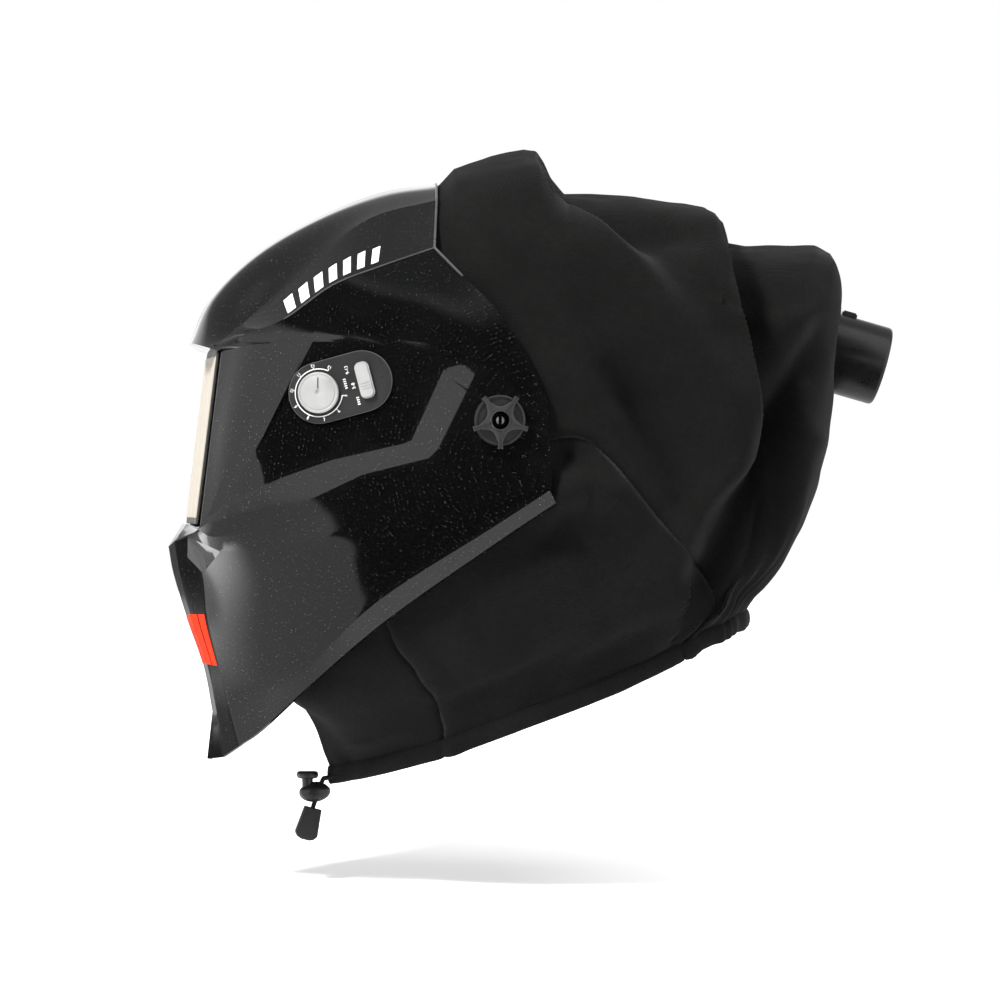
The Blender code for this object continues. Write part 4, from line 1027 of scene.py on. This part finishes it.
def arc(radius, start_deg, stop_deg, steps):
    turns = [math.radians(start_deg + (stop_deg - start_deg) * k / steps)
             for k in range(steps + 1)]
    return [(radius * math.cos(t), radius * math.sin(t)) for t in turns]


def stadium(radius, half_span, steps=24):
    """A slot's outline: two half circles, half_span either side of the middle along X."""
    right = [(half_span + x, y) for x, y in arc(radius, -90, 90, steps)]
    left = [(x - half_span, y) for x, y in arc(radius, 90, 270, steps)]
    return right + left


def rounded_box(half_width, half_height, radius, steps=8):
    points = []
    for sx, sy, start in ((1, -1, -90), (1, 1, 0), (-1, 1, 90), (-1, -1, 180)):
        points += [(sx * (half_width - radius) + x, sy * (half_height - radius) + y)
                   for x, y in arc(radius, start, start + 90, steps)]
    return points


def digits(name, text, size, look, matrix):
    """Raised print: one short number as a mesh, size mm tall."""
    curve = bpy.data.curves.new(name, "FONT")
    curve.body = text
    curve.size = size * 1.4 * MM
    curve.align_x, curve.align_y = "CENTER", "CENTER"
    curve.extrude = 0.04 * MM
    curve.resolution_u = 4
    source = link(bpy.data.objects.new(name + "_source", curve))
    bpy.context.view_layer.update()
    graph = bpy.context.evaluated_depsgraph_get()
    mesh = bpy.data.meshes.new_from_object(source.evaluated_get(graph))
    bpy.data.objects.remove(source)
    mesh.materials.clear()
    mesh.materials.append(look)
    obj = link(bpy.data.objects.new(name, mesh))
    obj.matrix_world = matrix
    return obj


def merged(name, objects):
    """One object made of several."""
    bm = bmesh.new()
    for obj in objects:
        mesh = obj.data.copy()
        mesh.transform(obj.matrix_world)
        bm.from_mesh(mesh)
        look = obj.data.materials[0]
        bpy.data.meshes.remove(mesh)
    for obj in objects:
        bpy.data.objects.remove(obj)
    mesh = bpy.data.meshes.new(name)
    bm.to_mesh(mesh)
    bm.free()
    mesh.materials.append(look)
    mesh.set_sharp_from_angle(angle=math.radians(SMOOTH_DEG))
    return link(bpy.data.objects.new(name, mesh))


def mirror_image(obj):
    """A copy of an object on the other side of the centre plane."""
    copy = link(obj.copy())
    copy.data = obj.data.copy()
    copy.data.transform(Matrix.Scale(-1, 4, (1, 0, 0)))
    copy.data.flip_normals()
    return copy


def fit(obj, body, slot_name, *nodes):
    """Hides the CAD nodes a finished piece replaces and attaches it to the body it moves with;
    slot_name is not used.
    """
    if nodes:
        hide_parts(*nodes)
    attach(obj, body)
    return obj


# ---- trim and print on the shell -----------------------------------------------------
def on_shell(grid, row, station, lift):
    """A point of the shell, lift mm outside it, by its line and its station along it."""
    r, c = row * SHELL_STEPS, station * SHELL_STEPS
    r0, c0 = min(int(r), len(grid) - 2), min(int(c), grid.shape[1] - 2)
    fr, fc = r - r0, c - c0
    near = grid[r0:r0 + 2, c0:c0 + 2]
    rows = near[0] * (1 - fr) + near[1] * fr
    point = rows[0] * (1 - fc) + rows[1] * fc
    out = unit(np.cross(near[1, 0] - near[0, 0], near[0, 1] - near[0, 0]))
    return point + out * lift


def decal(name, grid, corners, look):
    """Print on the shell inside four (line, station) corners, given in order."""
    a, b, c, d = (np.array(corner) for corner in corners)
    shares = [k / 8 for k in range(9)]
    patch = []
    for t in shares:
        first, second = a * (1 - t) + d * t, b * (1 - t) + c * t
        patch.append([on_shell(grid, *(first * (1 - k) + second * k), DECAL_LIFT)
                      for k in shares])
    return cloth_sheet(name, np.array(patch), 0.2, look)


DECAL_LIFT = 0.3
CREST_BARS, CHIN_BLOCKS = 7, 4
CREST_START, CREST_RUN, BAR_FOOT = 2.86, 1.66, 2.90
BAR_WIDTH, BAR_HEIGHT, BAR_LEAN = 0.17, 0.50, 0.10
BLOCK_START, BLOCK_PITCH, BLOCK_WIDTH = 0.06, 0.47, 0.40
BLOCK_TOP, BLOCK_BOTTOM = 11.9, 12.95


def make_trim():
    grid = shell_grid()
    bars = []
    for k in range(CREST_BARS):
        share = k / (CREST_BARS - 1)
        front = CREST_START - CREST_RUN * share
        rear = front - BAR_WIDTH + 0.03 * share
        top = BAR_FOOT - BAR_HEIGHT + 0.22 * share
        corners = [(front, BAR_FOOT), (rear, BAR_FOOT), (rear - BAR_LEAN, top),
                   (front - BAR_LEAN, top)]
        bars.append(decal(f"crest_bar_{k}", grid, corners, PRINT))
    opposite = [mirror_image(bar) for bar in bars]
    fit(merged("crest_stripes_left", bars), "visor", "dial_white")
    fit(merged("crest_stripes_right", opposite), "visor", "dial_white")
    blocks = []
    for k in range(CHIN_BLOCKS):
        start = BLOCK_START + BLOCK_PITCH * k
        end = start + BLOCK_WIDTH
        corners = [(BLOCK_TOP, start), (BLOCK_TOP, end), (BLOCK_BOTTOM, end),
                   (BLOCK_BOTTOM, start)]
        blocks.append(decal(f"chin_block_{k}", grid, corners, ORANGE))
    blocks += [mirror_image(made) for made in blocks]
    fit(merged("chin_blocks", blocks), "visor", "lens_gold")
    # Beads on the shell's edges, coloured lighter than the lacquer as a painted highlight.
    for side, sign in SIDES_OF_HEAD:
        turn = np.array([sign, 1, 1])
        crest = [on_shell(grid, k / 12, 3.0, 0.1) * turn for k in range(37)]
        fit(tube(f"crest_bead_{side}", crest, 0.4, HIGHLIGHT_BEAD, 8), "visor", "gloss_black")
        window = [on_shell(grid, 6 + k / 12, 2.02, -0.15) * turn for k in range(25)]
        fit(tube(f"window_bead_{side}", window, 0.35, HIGHLIGHT_BEAD, 8), "visor", "gloss_black")
    rear = [on_shell(grid, 0, k / 6, 0.0) for k in range(25)]
    rear = [p * MIRROR for p in rear[:0:-1]] + rear
    fit(tube("rear_bead", rear, 0.7, HIGHLIGHT_BEAD, 10), "visor", "gloss_black")


# ---- controls ------------------------------------------------------------------------
DIAL_RADIUS = 11.6
SCALE_RADIUS = 13.4
SCALE_FROM, SCALE_TO = 52.0, 339.0
TICKS, NUMBER_RADIUS, DARKEST_SHADE = 9, 15.5, 13
CAPTION_PITCH = 1.25
KNOB_LIFT = 2.9
PRINT_LIFT = 0.05
SLIDER_SHIFT = 2.2
PLATE_TOP = 2.6
PRINT_TOP = PLATE_TOP + PRINT_LIFT


def panel_point(y, z):
    return Vector((floor_x(y, z), y, z))


def panel_matrix(lift=0.0, share=0.5, x=0.0, y=0.0, tilt_deg=0.0):
    """The panel's frame: local X towards its rear end, local Z outwards, share along it."""
    ends = [panel_point(*end) for end in PANEL_ENDS]
    _, out = floor_plane()
    run = (ends[1] - ends[0]).normalized()
    turn = Matrix((run, out.cross(run), out)).transposed().to_4x4()
    middle = ends[0].lerp(ends[1], share)
    at = Matrix.Translation((middle + out * lift) * MM) @ turn
    return shifted(at, x, y) @ Matrix.Rotation(math.radians(tilt_deg), 4, "Z")


def make_panel():
    ends = [panel_point(*end) for end in PANEL_ENDS]
    span = (ends[1] - ends[0]).length / 2
    hole = [(x - span, y) for x, y in arc(3.2, 0, 342, 19)]
    slot_hole = [(x + span + SLIDER_SHIFT, y) for x, y in rounded_box(2.0, 7.6, 0.8, 3)]
    panel = plate("control_plate", stadium(PANEL_RADIUS, span), 0.6, PLATE_TOP, PANEL,
                  panel_matrix(), bevel=0.35, holes=(hole, slot_hole))
    fit(panel, "visor", "satin_black", "control_panel")
    # A grey ring round the plate, as a painted highlight on its rim.
    edge = plate("control_plate_edge", stadium(PANEL_RADIUS + 0.25, span), 0.4, 2.2, RIM_HIGHLIGHT,
                 panel_matrix(), bevel=0.2, holes=(stadium(PANEL_RADIUS - 0.2, span),))
    fit(edge, "visor", "satin_black")
    ring = arc(SCALE_RADIUS + 0.25, SCALE_FROM, SCALE_TO, 60)
    ring += arc(SCALE_RADIUS - 0.25, SCALE_TO, SCALE_FROM, 60)
    marks = [flat_plate("scale_ring", ring, PRINT, panel_matrix(PRINT_TOP, 0.0))]
    tick = [(-0.5, -0.175), (0.5, -0.175), (0.5, 0.175), (-0.5, 0.175)]
    for k, angle in enumerate(np.linspace(SCALE_FROM, SCALE_TO, TICKS)):
        at = panel_matrix(PRINT_TOP, 0.0, *swung(SCALE_RADIUS + 0.6, 0.0, angle), angle)
        marks.append(flat_plate(f"tick_{k}", tick, PRINT, at))
        at = panel_matrix(PRINT_TOP, 0.0, *swung(NUMBER_RADIUS, 0.0, angle), angle + 90)
        marks.append(digits(f"number_{k}", str(DARKEST_SHADE - k), 1.75, PRINT, at))
    for x, y, text in ((-6.4, 8.2, "9-13"), (-5.0, -1.4, "5-8")):
        marks.append(digits(f"range_{text}", text, 1.9, PRINT,
                            panel_matrix(PRINT_TOP, 1.0, x, y, 90)))
    for x, y, count in ((-9.2, 1.6, 5), (-4.4, -9.6, 4)):
        for k in range(count):
            at = panel_matrix(PRINT_TOP, 1.0, x, y + CAPTION_PITCH * (k - count / 2), 90)
            marks.append(flat_plate("caption_bar", rounded_box(0.28, 0.75, 0.1, 2), PRINT, at))
    fit(merged("control_marks", marks), "visor", "dial_white")
    pin = turned("plate_pin", [(0, 2.4), (0.9, 2.4), (0.9, 2.75), (0.6, 2.95), (0, 2.95)],
                 PANEL, panel_matrix(0, 1.0, 11.8, 0.0), steps=20)
    fit(pin, "visor", "satin_black")


def make_dial():
    top, radius = KNOB_LIFT, DIAL_RADIUS
    ribs = 48
    profile = [(0.0, -3.0), (3.0, -3.0), (3.0, top), (radius - 0.5, top), (radius, top + 0.4),
               (radius, top + 1.9), (radius - 0.35, top + 2.5), (radius - 0.9, top + 2.7),
               (radius - 1.3, top + 2.55), (radius - 1.9, top + 2.5), (radius - 2.0, top + 2.8),
               (radius - 2.3, top + 3.0), (2.2, top + 2.9), (1.6, top + 2.8), (1.1, top + 2.35),
               (0.7, top + 2.1), (0.0, top + 2.05)]
    dial = turned("dial_knob", profile, PALE, panel_matrix(0, 0.0), steps=4 * ribs)
    for vert in dial.data.vertices:
        reach = math.hypot(vert.co.x, vert.co.y)
        if reach > (radius - 0.2) * MM:
            turn = math.atan2(vert.co.y, vert.co.x) * ribs
            grow = 1 - 0.014 * (0.5 - 0.5 * math.cos(turn))
            vert.co.x *= grow
            vert.co.y *= grow
    fit(dial, "shade_dial", "dial_white", "shade_dial")
    pointer = plate("dial_pointer", rounded_box(3.2, 0.28, 0.27, 4), top + 2.85, top + 3.06,
                    SHADE_AND_PRINT_BLACK, panel_matrix(0, 0.0, 1.4, 5.2, 75))
    fit(pointer, "shade_dial", "dial_white")


def make_slider():
    top = KNOB_LIFT
    body = plate("slider_button", rounded_box(10.4, 4.1, 3.3, 8), top, top + 2.5, PALE,
                 panel_matrix(0, 1.0, SLIDER_SHIFT, 0, 90), bevel=0.8, segments=4)
    stem = block("slider_stem", (5.0, 3.2, 4.4), PALE,
                 panel_matrix(1.0, 1.0, SLIDER_SHIFT, 0, 90), 0.2)
    parts = [body, stem]
    for k in range(3):
        parts.append(plate(f"slider_rib_{k}", rounded_box(0.32, 2.7, 0.3, 3), top + 2.4,
                           top + 2.75, PALE,
                           panel_matrix(0, 1.0, SLIDER_SHIFT, 1.6 * (k - 1) - 3.0, 90),
                           bevel=0.12))
    fit(merged("slider_knob", parts), "mode_slider", "dial_white", "mode_slider")


# ---- pivots --------------------------------------------------------------------------
KNOB_ARMS, KNOB_REACH, KNOB_WEB = 5, 16.3, 7.9
ARM_HALF = 1.5
KNOB_FACE, BOLT_HEAD = 119.2, 98.0


def star_outline():
    points = []
    for arm in range(KNOB_ARMS):
        middle = 360 * arm / KNOB_ARMS - 90
        for across in (-ARM_HALF, ARM_HALF):
            points.append(swung(KNOB_REACH - 0.4, across, middle))
        for k in range(1, 12):
            share = k / 12
            sag = abs(2 * share - 1)
            reach = KNOB_WEB + (KNOB_REACH - KNOB_WEB) * (0.1 * sag + 0.9 * sag ** 3.2) * 0.93
            points.append(swung(reach, 0.0, middle + 360 / KNOB_ARMS * share))
    return points


def make_knob(side, sign):
    frame_at = along((sign, 0, 0), (sign * KNOB_FACE, 0, 0))
    disc = turned(f"knob_disc_{side}",
                  [(4.9, 0.0), (13.4, 0.0), (14.2, 0.6), (14.2, 3.6), (13.9, 4.2), (13.3, 4.4),
                   (12.8, 4.15), (12.6, 3.4), (5.6, 3.2), (4.9, 3.2)],
                  PANEL, frame_at, steps=96)
    fit(disc, f"pivot_knob_{side}", "knob_plastic")
    parts = [plate(f"knob_star_{side}", star_outline(), 2.4, 6.4, SMOKED, frame_at, bevel=0.5,
                   holes=(arc(5.0, 0, 350, 35),))]
    for arm in range(KNOB_ARMS):
        angle = 360 * arm / KNOB_ARMS - 90
        turn = Matrix.Rotation(math.radians(angle), 4, "Z")
        for shift in (-0.85, 0.85):
            x, y = swung((5.4 + KNOB_REACH) / 2, shift, angle)
            parts.append(block(f"arm_rib_{arm}", (KNOB_REACH - 5.6, 0.6, 1.6), SMOKED,
                               shifted(frame_at, x, y, 6.5) @ turn, 0.22, 2))
    parts.append(turned(f"knob_collar_{side}", [(4.95, 5.2), (5.8, 5.2), (5.8, 7.4), (5.5, 7.8),
                                                (5.2, 7.8), (4.95, 7.4)],
                        SMOKED, frame_at, steps=48))
    knob = merged(f"star_knob_{side}", parts)
    fit(knob, f"pivot_knob_{side}", "knob_plastic", f"pivot_knob_{side}")
    # The bolt is near black, as painted shade in the knob's bore.
    bolt_at = along((sign, 0, 0), (sign * BOLT_HEAD, 0, 0))
    bolt = turned(f"bolt_shaft_{side}",
                  [(0.0, 0.0), (8.6, 0.0), (9.0, 0.4), (9.0, 2.0), (8.6, 2.4), (4.0, 2.4),
                   (4.0, 21.6), (3.6, 22.0), (0.0, 22.0)], SHADE_AND_PRINT_BLACK, bolt_at, steps=48)
    fit(bolt, "headgear", "steel", f"pivot_bolt_{side}")
    for half in (-1, 1):
        moon = [(half * x, half * y) for x, y in arc(2.3, -68, 68, 16)]
        tip = plate(f"bolt_tip_{side}_{half}", moon, 20.0, 25.6, STEEL, bolt_at, bevel=0.3)
        fit(tip, "headgear", "steel")


# ---- window --------------------------------------------------------------------------
LENS_CENTRE = (0.0, -160.0, -9.0)
LENS_TILT_DEG = -7.05
LENS_HALF = (55.6, 46.0)


def lens_matrix(x=0.0, y=0.0, z=0.0):
    """The window's own frame turned so that local Z runs inwards and local Y is up."""
    tilt = Matrix.Rotation(math.radians(LENS_TILT_DEG), 4, "X")
    stand = Matrix(((1, 0, 0), (0, 0, 1), (0, 1, 0))).to_4x4()
    return (Matrix.Translation(Vector(LENS_CENTRE) * MM) @ tilt
            @ Matrix.Translation(Vector((x, y, z)) * MM) @ stand)


def make_window():
    width, height = LENS_HALF
    cover = plate("cover_plate", rounded_box(width, height, 3.0), -0.7, 1.2, GOLD,
                  lens_matrix(), bevel=0.25)
    fit(cover, "visor", "lens_gold", "front_cover_lens")
    seal = plate("window_seal", rounded_box(width + 1.9, height + 3.4, 4.2), -0.2, 1.0, SEAL,
                 lens_matrix(), bevel=0.3, holes=(rounded_box(width - 0.4, height - 0.4, 2.6),))
    fit(seal, "visor", "soft_black", "lens_gasket")


# ---- spigot --------------------------------------------------------------------------
SPIGOT_END = (0.0, 230.6, 32.1)
SPIGOT_TILT_DEG = 16.0
SPIGOT_RADIUS, SPIGOT_LENGTH = 22.5, 78.0


def make_spigot():
    tilt = math.radians(SPIGOT_TILT_DEG)
    axis = Vector((0, math.cos(tilt), -math.sin(tilt)))
    start = Vector(SPIGOT_END) - axis * SPIGOT_LENGTH
    wall, lip = 3.0, 1.6
    r, end = SPIGOT_RADIUS, SPIGOT_LENGTH
    at = along(axis, start)
    tube_part = turned("spigot_tube",
                       [(r - wall, 0.0), (r, 0.0), (r, end - 31.5), (r + 0.15, end - 31.0),
                        (r + 0.15, end - lip - 0.5), (r - 0.1, end - lip * 0.5),
                        (r - 0.8, end - 0.1), (r - wall + 0.8, end), (r - wall, end - 0.6)],
                       TUBE, at, steps=128)
    key = block("spigot_key", (6.4, 4.6, 8.6), TUBE,
                shifted(at, 0, r + 0.3, end - 26), 0.8)
    fit(merged("spigot", [tube_part, key]), "headgear", "satin_black", "inlet_spigot")
    clamp = turned("clamp_band", [(r + 0.4, end - 52), (r + 1.4, end - 52.2),
                                  (r + 1.6, end - 51.4), (r + 1.6, end - 43.8),
                                  (r + 1.4, end - 43), (r + 0.4, end - 43.2)],
                   STEEL, at, steps=96)
    screw = block("clamp_screw", (9.0, 6.0, 7.0), STEEL,
                  shifted(at, 0, -(r + 3.2), end - 47.6), 0.8)
    fit(merged("hood_clamp", [clamp, screw]), "headgear", "steel", "spigot_clamp")


# ---- drawcord, its lock and its end --------------------------------------------------
CORD_RADIUS = 1.2
LOCK_CENTRE = (0.0, -95.5, -211.0)
PLUNGER_Y = -99.7


def tail_route(sign):
    """One end of the drawcord: out of the hem, down through the lock, into the cord end."""
    return [(sign * 7.4, -83.6, -201.8), (sign * 5.0, -86.0, -202.4),
            (sign * 3.0, -88.9, -203.2), (sign * 1.8, -91.2, -204.8),
            (sign * 1.7, -96.4, -219.5), (sign * 1.7, -99.6, -231.5)]


def make_cord_lock():
    bm = bmesh.new()
    bmesh.ops.create_uvsphere(bm, u_segments=48, v_segments=32, radius=1.0)
    for vert in bm.verts:
        x, y, z = vert.co
        squash = 1 - 0.12 * smoothstep(0.2, 0.9, z)
        vert.co = Vector((x * 6.3 * squash, y * 9.0 * squash + 0.8 * z, z * 5.9)) * MM
    body = from_bmesh("lock_bead", bm, SATIN, Matrix.Translation(Vector(LOCK_CENTRE) * MM), 60)
    fit(body, "visor", "soft_black", "cord_lock_body", "cord_lock_spring")
    low = LOCK_CENTRE[2] + 7.9
    cap = turned("lock_cap", [(0.0, low - 5.0), (3.0, low - 5.0), (3.2, low - 0.6),
                              (5.2, low - 0.1), (6.1, low + 0.8), (6.4, low + 2.0),
                              (6.1, low + 3.1), (5.3, low + 3.9), (4.4, low + 4.0),
                              (0.0, low + 3.7)],
                 SATIN, Matrix.Translation((0, PLUNGER_Y * MM, 0)), steps=64)
    fit(cap, "cord_lock_button", "soft_black", "cord_lock_button")
    path = [Vector(p) for p in tail_route(0)]
    up = (path[-2] - path[-1]).normalized()
    out = Vector((1, 0, 0))
    turn = Matrix((up.cross(out), up, out)).transposed().to_4x4()
    at = Matrix.Translation((path[-2] - up * 0.6) * MM) @ turn
    outline = [(-5.0, 0), (5.0, 0), (6.5, -14.4), (6.1, -16.2), (4.6, -17.8), (2.4, -18.6),
               (-2.4, -18.6), (-4.6, -17.8), (-6.1, -16.2), (-6.5, -14.4)]
    toggle = plate("cord_toggle", outline, -4.0, 4.0, SATIN, at, bevel=0.7)
    seam = plate("cord_toggle_cap", [(-6.55, -14.5), (6.55, -14.5), (6.3, -16.0), (4.7, -17.9),
                                     (2.4, -18.8), (-2.4, -18.8), (-4.7, -17.9), (-6.3, -16.0)],
                 -4.15, 4.15, SATIN, at, bevel=0.6)
    fit(merged("cord_toggle", [toggle, seam]), "visor", "soft_black", "cord_end")


def make_tails():
    for side, sign in SIDES_OF_HEAD:
        path = smooth_line(as_points(tail_route(sign)), 10)
        tail = tube(f"cord_tail_{side}", path, CORD_RADIUS, CORD, steps=14)
        fit(tail, "visor", "cord_grey", f"drawcord_tail_{side}")


# ---- padding and the cord in the hem --------------------------------------------------
HEAD_CENTRE_Y, HEAD_HALF = -2.0, (80.0, 100.0)


def ring_frame(angle_deg, grow, drop):
    """A point of the harness ring and the way out from it: 0 at the rear, 180 in front."""
    angle = math.radians(angle_deg)
    level = 35.5 - 20.5 * math.cos(angle)
    point = np.array([(HEAD_HALF[0] + grow) * math.sin(angle),
                      HEAD_CENTRE_Y + (HEAD_HALF[1] + grow) * math.cos(angle), level - drop])
    out = unit(np.array([math.sin(angle) / HEAD_HALF[0], math.cos(angle) / HEAD_HALF[1], 0.0]))
    return point, out


def cushion(name, start_deg, end_deg, height, thickness, grow, drop, channels, look):
    """A pad on the ring: crowned, pinched at its ends and at the sewn channels across it."""
    across, around = 72, 32
    points = []
    for k in range(across + 1):
        share = k / across
        point, out = ring_frame(start_deg + (end_deg - start_deg) * share, grow, drop)
        ends = min(1.0, math.sin(math.pi * share) * 4.5 + 0.12) ** 0.5
        pinch = 1.0
        for channel in range(1, channels):
            pinch -= 0.5 * math.exp(-((share - channel / channels) * across / 1.3) ** 2)
        for step in range(around):
            angle = 2 * math.pi * step / around
            c, s = math.cos(angle), math.sin(angle)
            wide = abs(c) ** 0.8 * math.copysign(1, c) * thickness / 2 * ends * pinch
            tall = abs(s) ** 0.6 * math.copysign(1, s) * height / 2 * (0.82 + 0.18 * ends)
            spot = point + out * wide + np.array([0, 0, tall])
            lump = noise.noise(Vector(spot) * 0.09)
            points.append(spot - out * 0.25 * (lump + 0.4))
    bm = bmesh_of([p * MM for p in points], sleeve(across + 1, around))
    return from_bmesh(name, bm, look, smooth_deg=75)


def make_padding():
    brow = cushion("brow_cushion", 129, 231, 29.0, 4.4, -3.6, 0.0, 7, FOAM)
    fit(brow, "headgear", "foam", "sweatband")
    nape = cushion("nape_cushion", -19.5, 19.5, 21.0, 5.6, -4.2, 2.0, 3, FOAM)
    fit(nape, "headgear", "foam", "rear_pad")


def make_hem_cord(edge):
    """The part of the drawcord that lies in the hem."""
    left = [p for p in edge if p[0] > 9.5 or p[1] > 0]
    route = [p * MIRROR for p in left[:0:-1]] + left
    drop = np.array([0, 0, 4.6])
    loop = tube("hem_cord", [p - drop for p in route], CORD_RADIUS, CORD, steps=12)
    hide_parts("drawcord")
    return loop


# ---- camera, lights and stage --------------------------------------------------------
def aim(obj, at, target):
    obj.location = at
    obj.rotation_euler = (Vector(target) - Vector(at)).to_track_quat("-Z", "Y").to_euler()


FRAME_WIDTH = 0.572


def make_camera():
    azimuth, elevation, distance = math.radians(85.0), math.radians(0.1), 4.5
    target = Vector((0.0, 0.01065, -0.0445))
    away = Vector((math.sin(azimuth) * math.cos(elevation),
                   -math.cos(azimuth) * math.cos(elevation), math.sin(elevation)))
    camera = link(bpy.data.objects.new("camera", bpy.data.cameras.new("camera")))
    camera.data.lens = camera.data.sensor_width * distance / FRAME_WIDTH
    camera.data.clip_end = 50.0
    aim(camera, target + away * distance, target)
    bpy.context.scene.camera = camera


def softbox(name, at, target, size, power):
    light = bpy.data.lights.new(name, "AREA")
    light.shape = "RECTANGLE"
    light.size = light.size_y = size
    light.energy = power
    obj = link(bpy.data.objects.new(name, light))
    aim(obj, at, target)
    obj.visible_camera = False
    obj.visible_glossy = False


def make_world():
    """White to the eye; in reflections, a pale sweep behind and above and a dark room in front."""
    world = bpy.data.worlds.new("studio")
    bpy.context.scene.world = world
    world.use_nodes = True
    tree = world.node_tree
    tree.nodes.clear()
    direction = node(tree, "ShaderNodeTexCoord").outputs["Generated"]
    parts = node(tree, "ShaderNodeSeparateXYZ", {"Vector": direction})
    backward = math_of(tree, "MULTIPLY", parts.outputs["Y"], -1.0)
    turn = math_of(tree, "ARCTAN2", parts.outputs["X"], backward)
    height = parts.outputs["Z"]

    def rise(source, start, end, low=0.0, high=1.0):
        """Goes smoothly from low to high as the source goes from start to end."""
        inputs = {"From Min": start, "From Max": end, "To Min": low, "To Max": high,
                  "Value": source}
        return node(tree, "ShaderNodeMapRange", inputs,
                    interpolation_type="SMOOTHSTEP").outputs["Result"]

    def degrees(start, end, source=turn):
        return rise(source, math.radians(start), math.radians(end))

    def times(*factors):
        product = factors[0]
        for factor in factors[1:]:
            product = math_of(tree, "MULTIPLY", product, factor)
        return product

    def plus(first, second):
        return math_of(tree, "ADD", first, second)

    # The dark room lies to the side, from where the pale sweep ends to the camera's left.
    shifted_turn = plus(turn, rise(height, -0.30, -0.55, 0.0, -0.055))
    off_level = plus(rise(height, 0.06, 0.12), rise(height, -0.06, -0.12))
    far_end = plus(degrees(94, 90), times(degrees(118, 112), degrees(90, 94), off_level))
    room = times(degrees(55.5, 58.5, shifted_turn), far_end, rise(height, 0.90, 0.70))
    strip = times(rise(height, 0.44, 0.56, 0.0, 0.5), rise(height, 0.68, 0.56), degrees(57, 70))
    in_room = plus(rise(height, 0.56, 0.68, 0.03, 0.22), strip)
    sweep = rise(height, -0.45, 0.35, 1.10, 1.70)
    dimmer = times(degrees(20, -15), rise(height, 0.25, 0.5))
    sweep = times(sweep, math_of(tree, "MULTIPLY_ADD", dimmer, -0.72, 1.0))
    # Two bright boxes in front, which light the chin's edge and the facet beside it.
    edge = plus(turn, rise(height, -0.22, -0.34, 0.0, -0.2))
    low_box = times(rise(height, -0.85, -0.70, 0.0, 3.4), rise(height, 0.03, -0.03),
                    times(degrees(-8, -40, edge), degrees(-44, -36)))
    side_box = times(rise(height, -0.5, -0.4, 0.0, 1.6), rise(height, 0.1, 0.0),
                     times(degrees(-55, -58), degrees(-75, -70)))
    outside = plus(sweep, plus(low_box, side_box))
    strength = node(tree, "ShaderNodeMix", {"Factor": room, "A": outside, "B": in_room})
    lit = node(tree, "ShaderNodeBackground", {"Strength": strength.outputs["Result"]})
    soft = node(tree, "ShaderNodeBackground", {"Strength": 0.22})
    seen = node(tree, "ShaderNodeBackground", {"Color": (1, 1, 1, 1)})
    path = node(tree, "ShaderNodeLightPath")
    indirect = node(tree, "ShaderNodeMixShader", {0: path.outputs["Is Diffuse Ray"],
                                                  1: lit.outputs[0], 2: soft.outputs[0]})
    mix = node(tree, "ShaderNodeMixShader", {0: path.outputs["Is Camera Ray"],
                                             1: indirect.outputs[0], 2: seen.outputs[0]})
    node(tree, "ShaderNodeOutputWorld", {"Surface": mix.outputs[0]})


FLOOR_HALF, FLOOR_LEVEL, FLOOR_SLOPE = 1.6, -0.262, 0.09


def make_stage():
    make_camera()
    make_world()
    softbox("key", (1.4, -1.7, 2.3), (0, 0.05, 0), 0.6, 220.0)
    softbox("rear", (1.2, 2.4, 0.7), (0, 0.0, 0), 0.8, 22.0)
    softbox("top", (0.1, 1.3, 2.1), (0, 0.05, 0), 1.5, 36.0)
    made, tree, shader = new_material("studio_floor")
    feed(tree, shader, {"Base Color": (0.9, 0.9, 0.9, 1), "Roughness": 0.9,
                        "Emission Color": (1, 1, 1, 1), "Emission Strength": 0.5})
    half = FLOOR_HALF
    corners = [(x, y, FLOOR_LEVEL - FLOOR_SLOPE * x)
               for x, y in ((-half, -half), (half, -half), (half, half), (-half, half))]
    floor = mesh_object("studio_floor", corners, [(0, 1, 2, 3)], made, smooth=False)
    floor.visible_glossy = False
    bpy.context.scene.view_settings.view_transform = "Standard"


make_stage()
shell = make_shell()
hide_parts("visor_shell")
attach(shell, "visor")
hood_pieces, HOOD = make_hood()
for piece in hood_pieces:
    if piece.name == "hood_throat_cloth":
        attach(piece, "visor")
    else:
        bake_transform(piece)

make_trim()
make_panel()
make_dial()
make_slider()
for side, sign in SIDES_OF_HEAD:
    make_knob(side, sign)
make_window()
make_spigot()
make_cord_lock()
make_tails()
make_padding()
hem_cord = make_hem_cord(HOOD[-1])
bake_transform(hem_cord)

SLOT_LOOKS = {
    "gloss_black": GLOSS, "satin_black": SATIN, "soft_black": SOFT, "knob_plastic": SMOKED,
    "lens_gold": GOLD, "green_glass": GREEN, "solar_blue": CELL, "clear_plastic": CLEAR,
    "dial_white": PALE, "steel": STEEL, "foam": FOAM, "fabric": FABRIC, "cord_grey": CORD,
}
for row in frame["record"]["subparts"]:
    slots = frame["nodes"][row["node"]].data.materials
    slots.clear()
    slots.append(SLOT_LOOKS[row["material_slot"]])
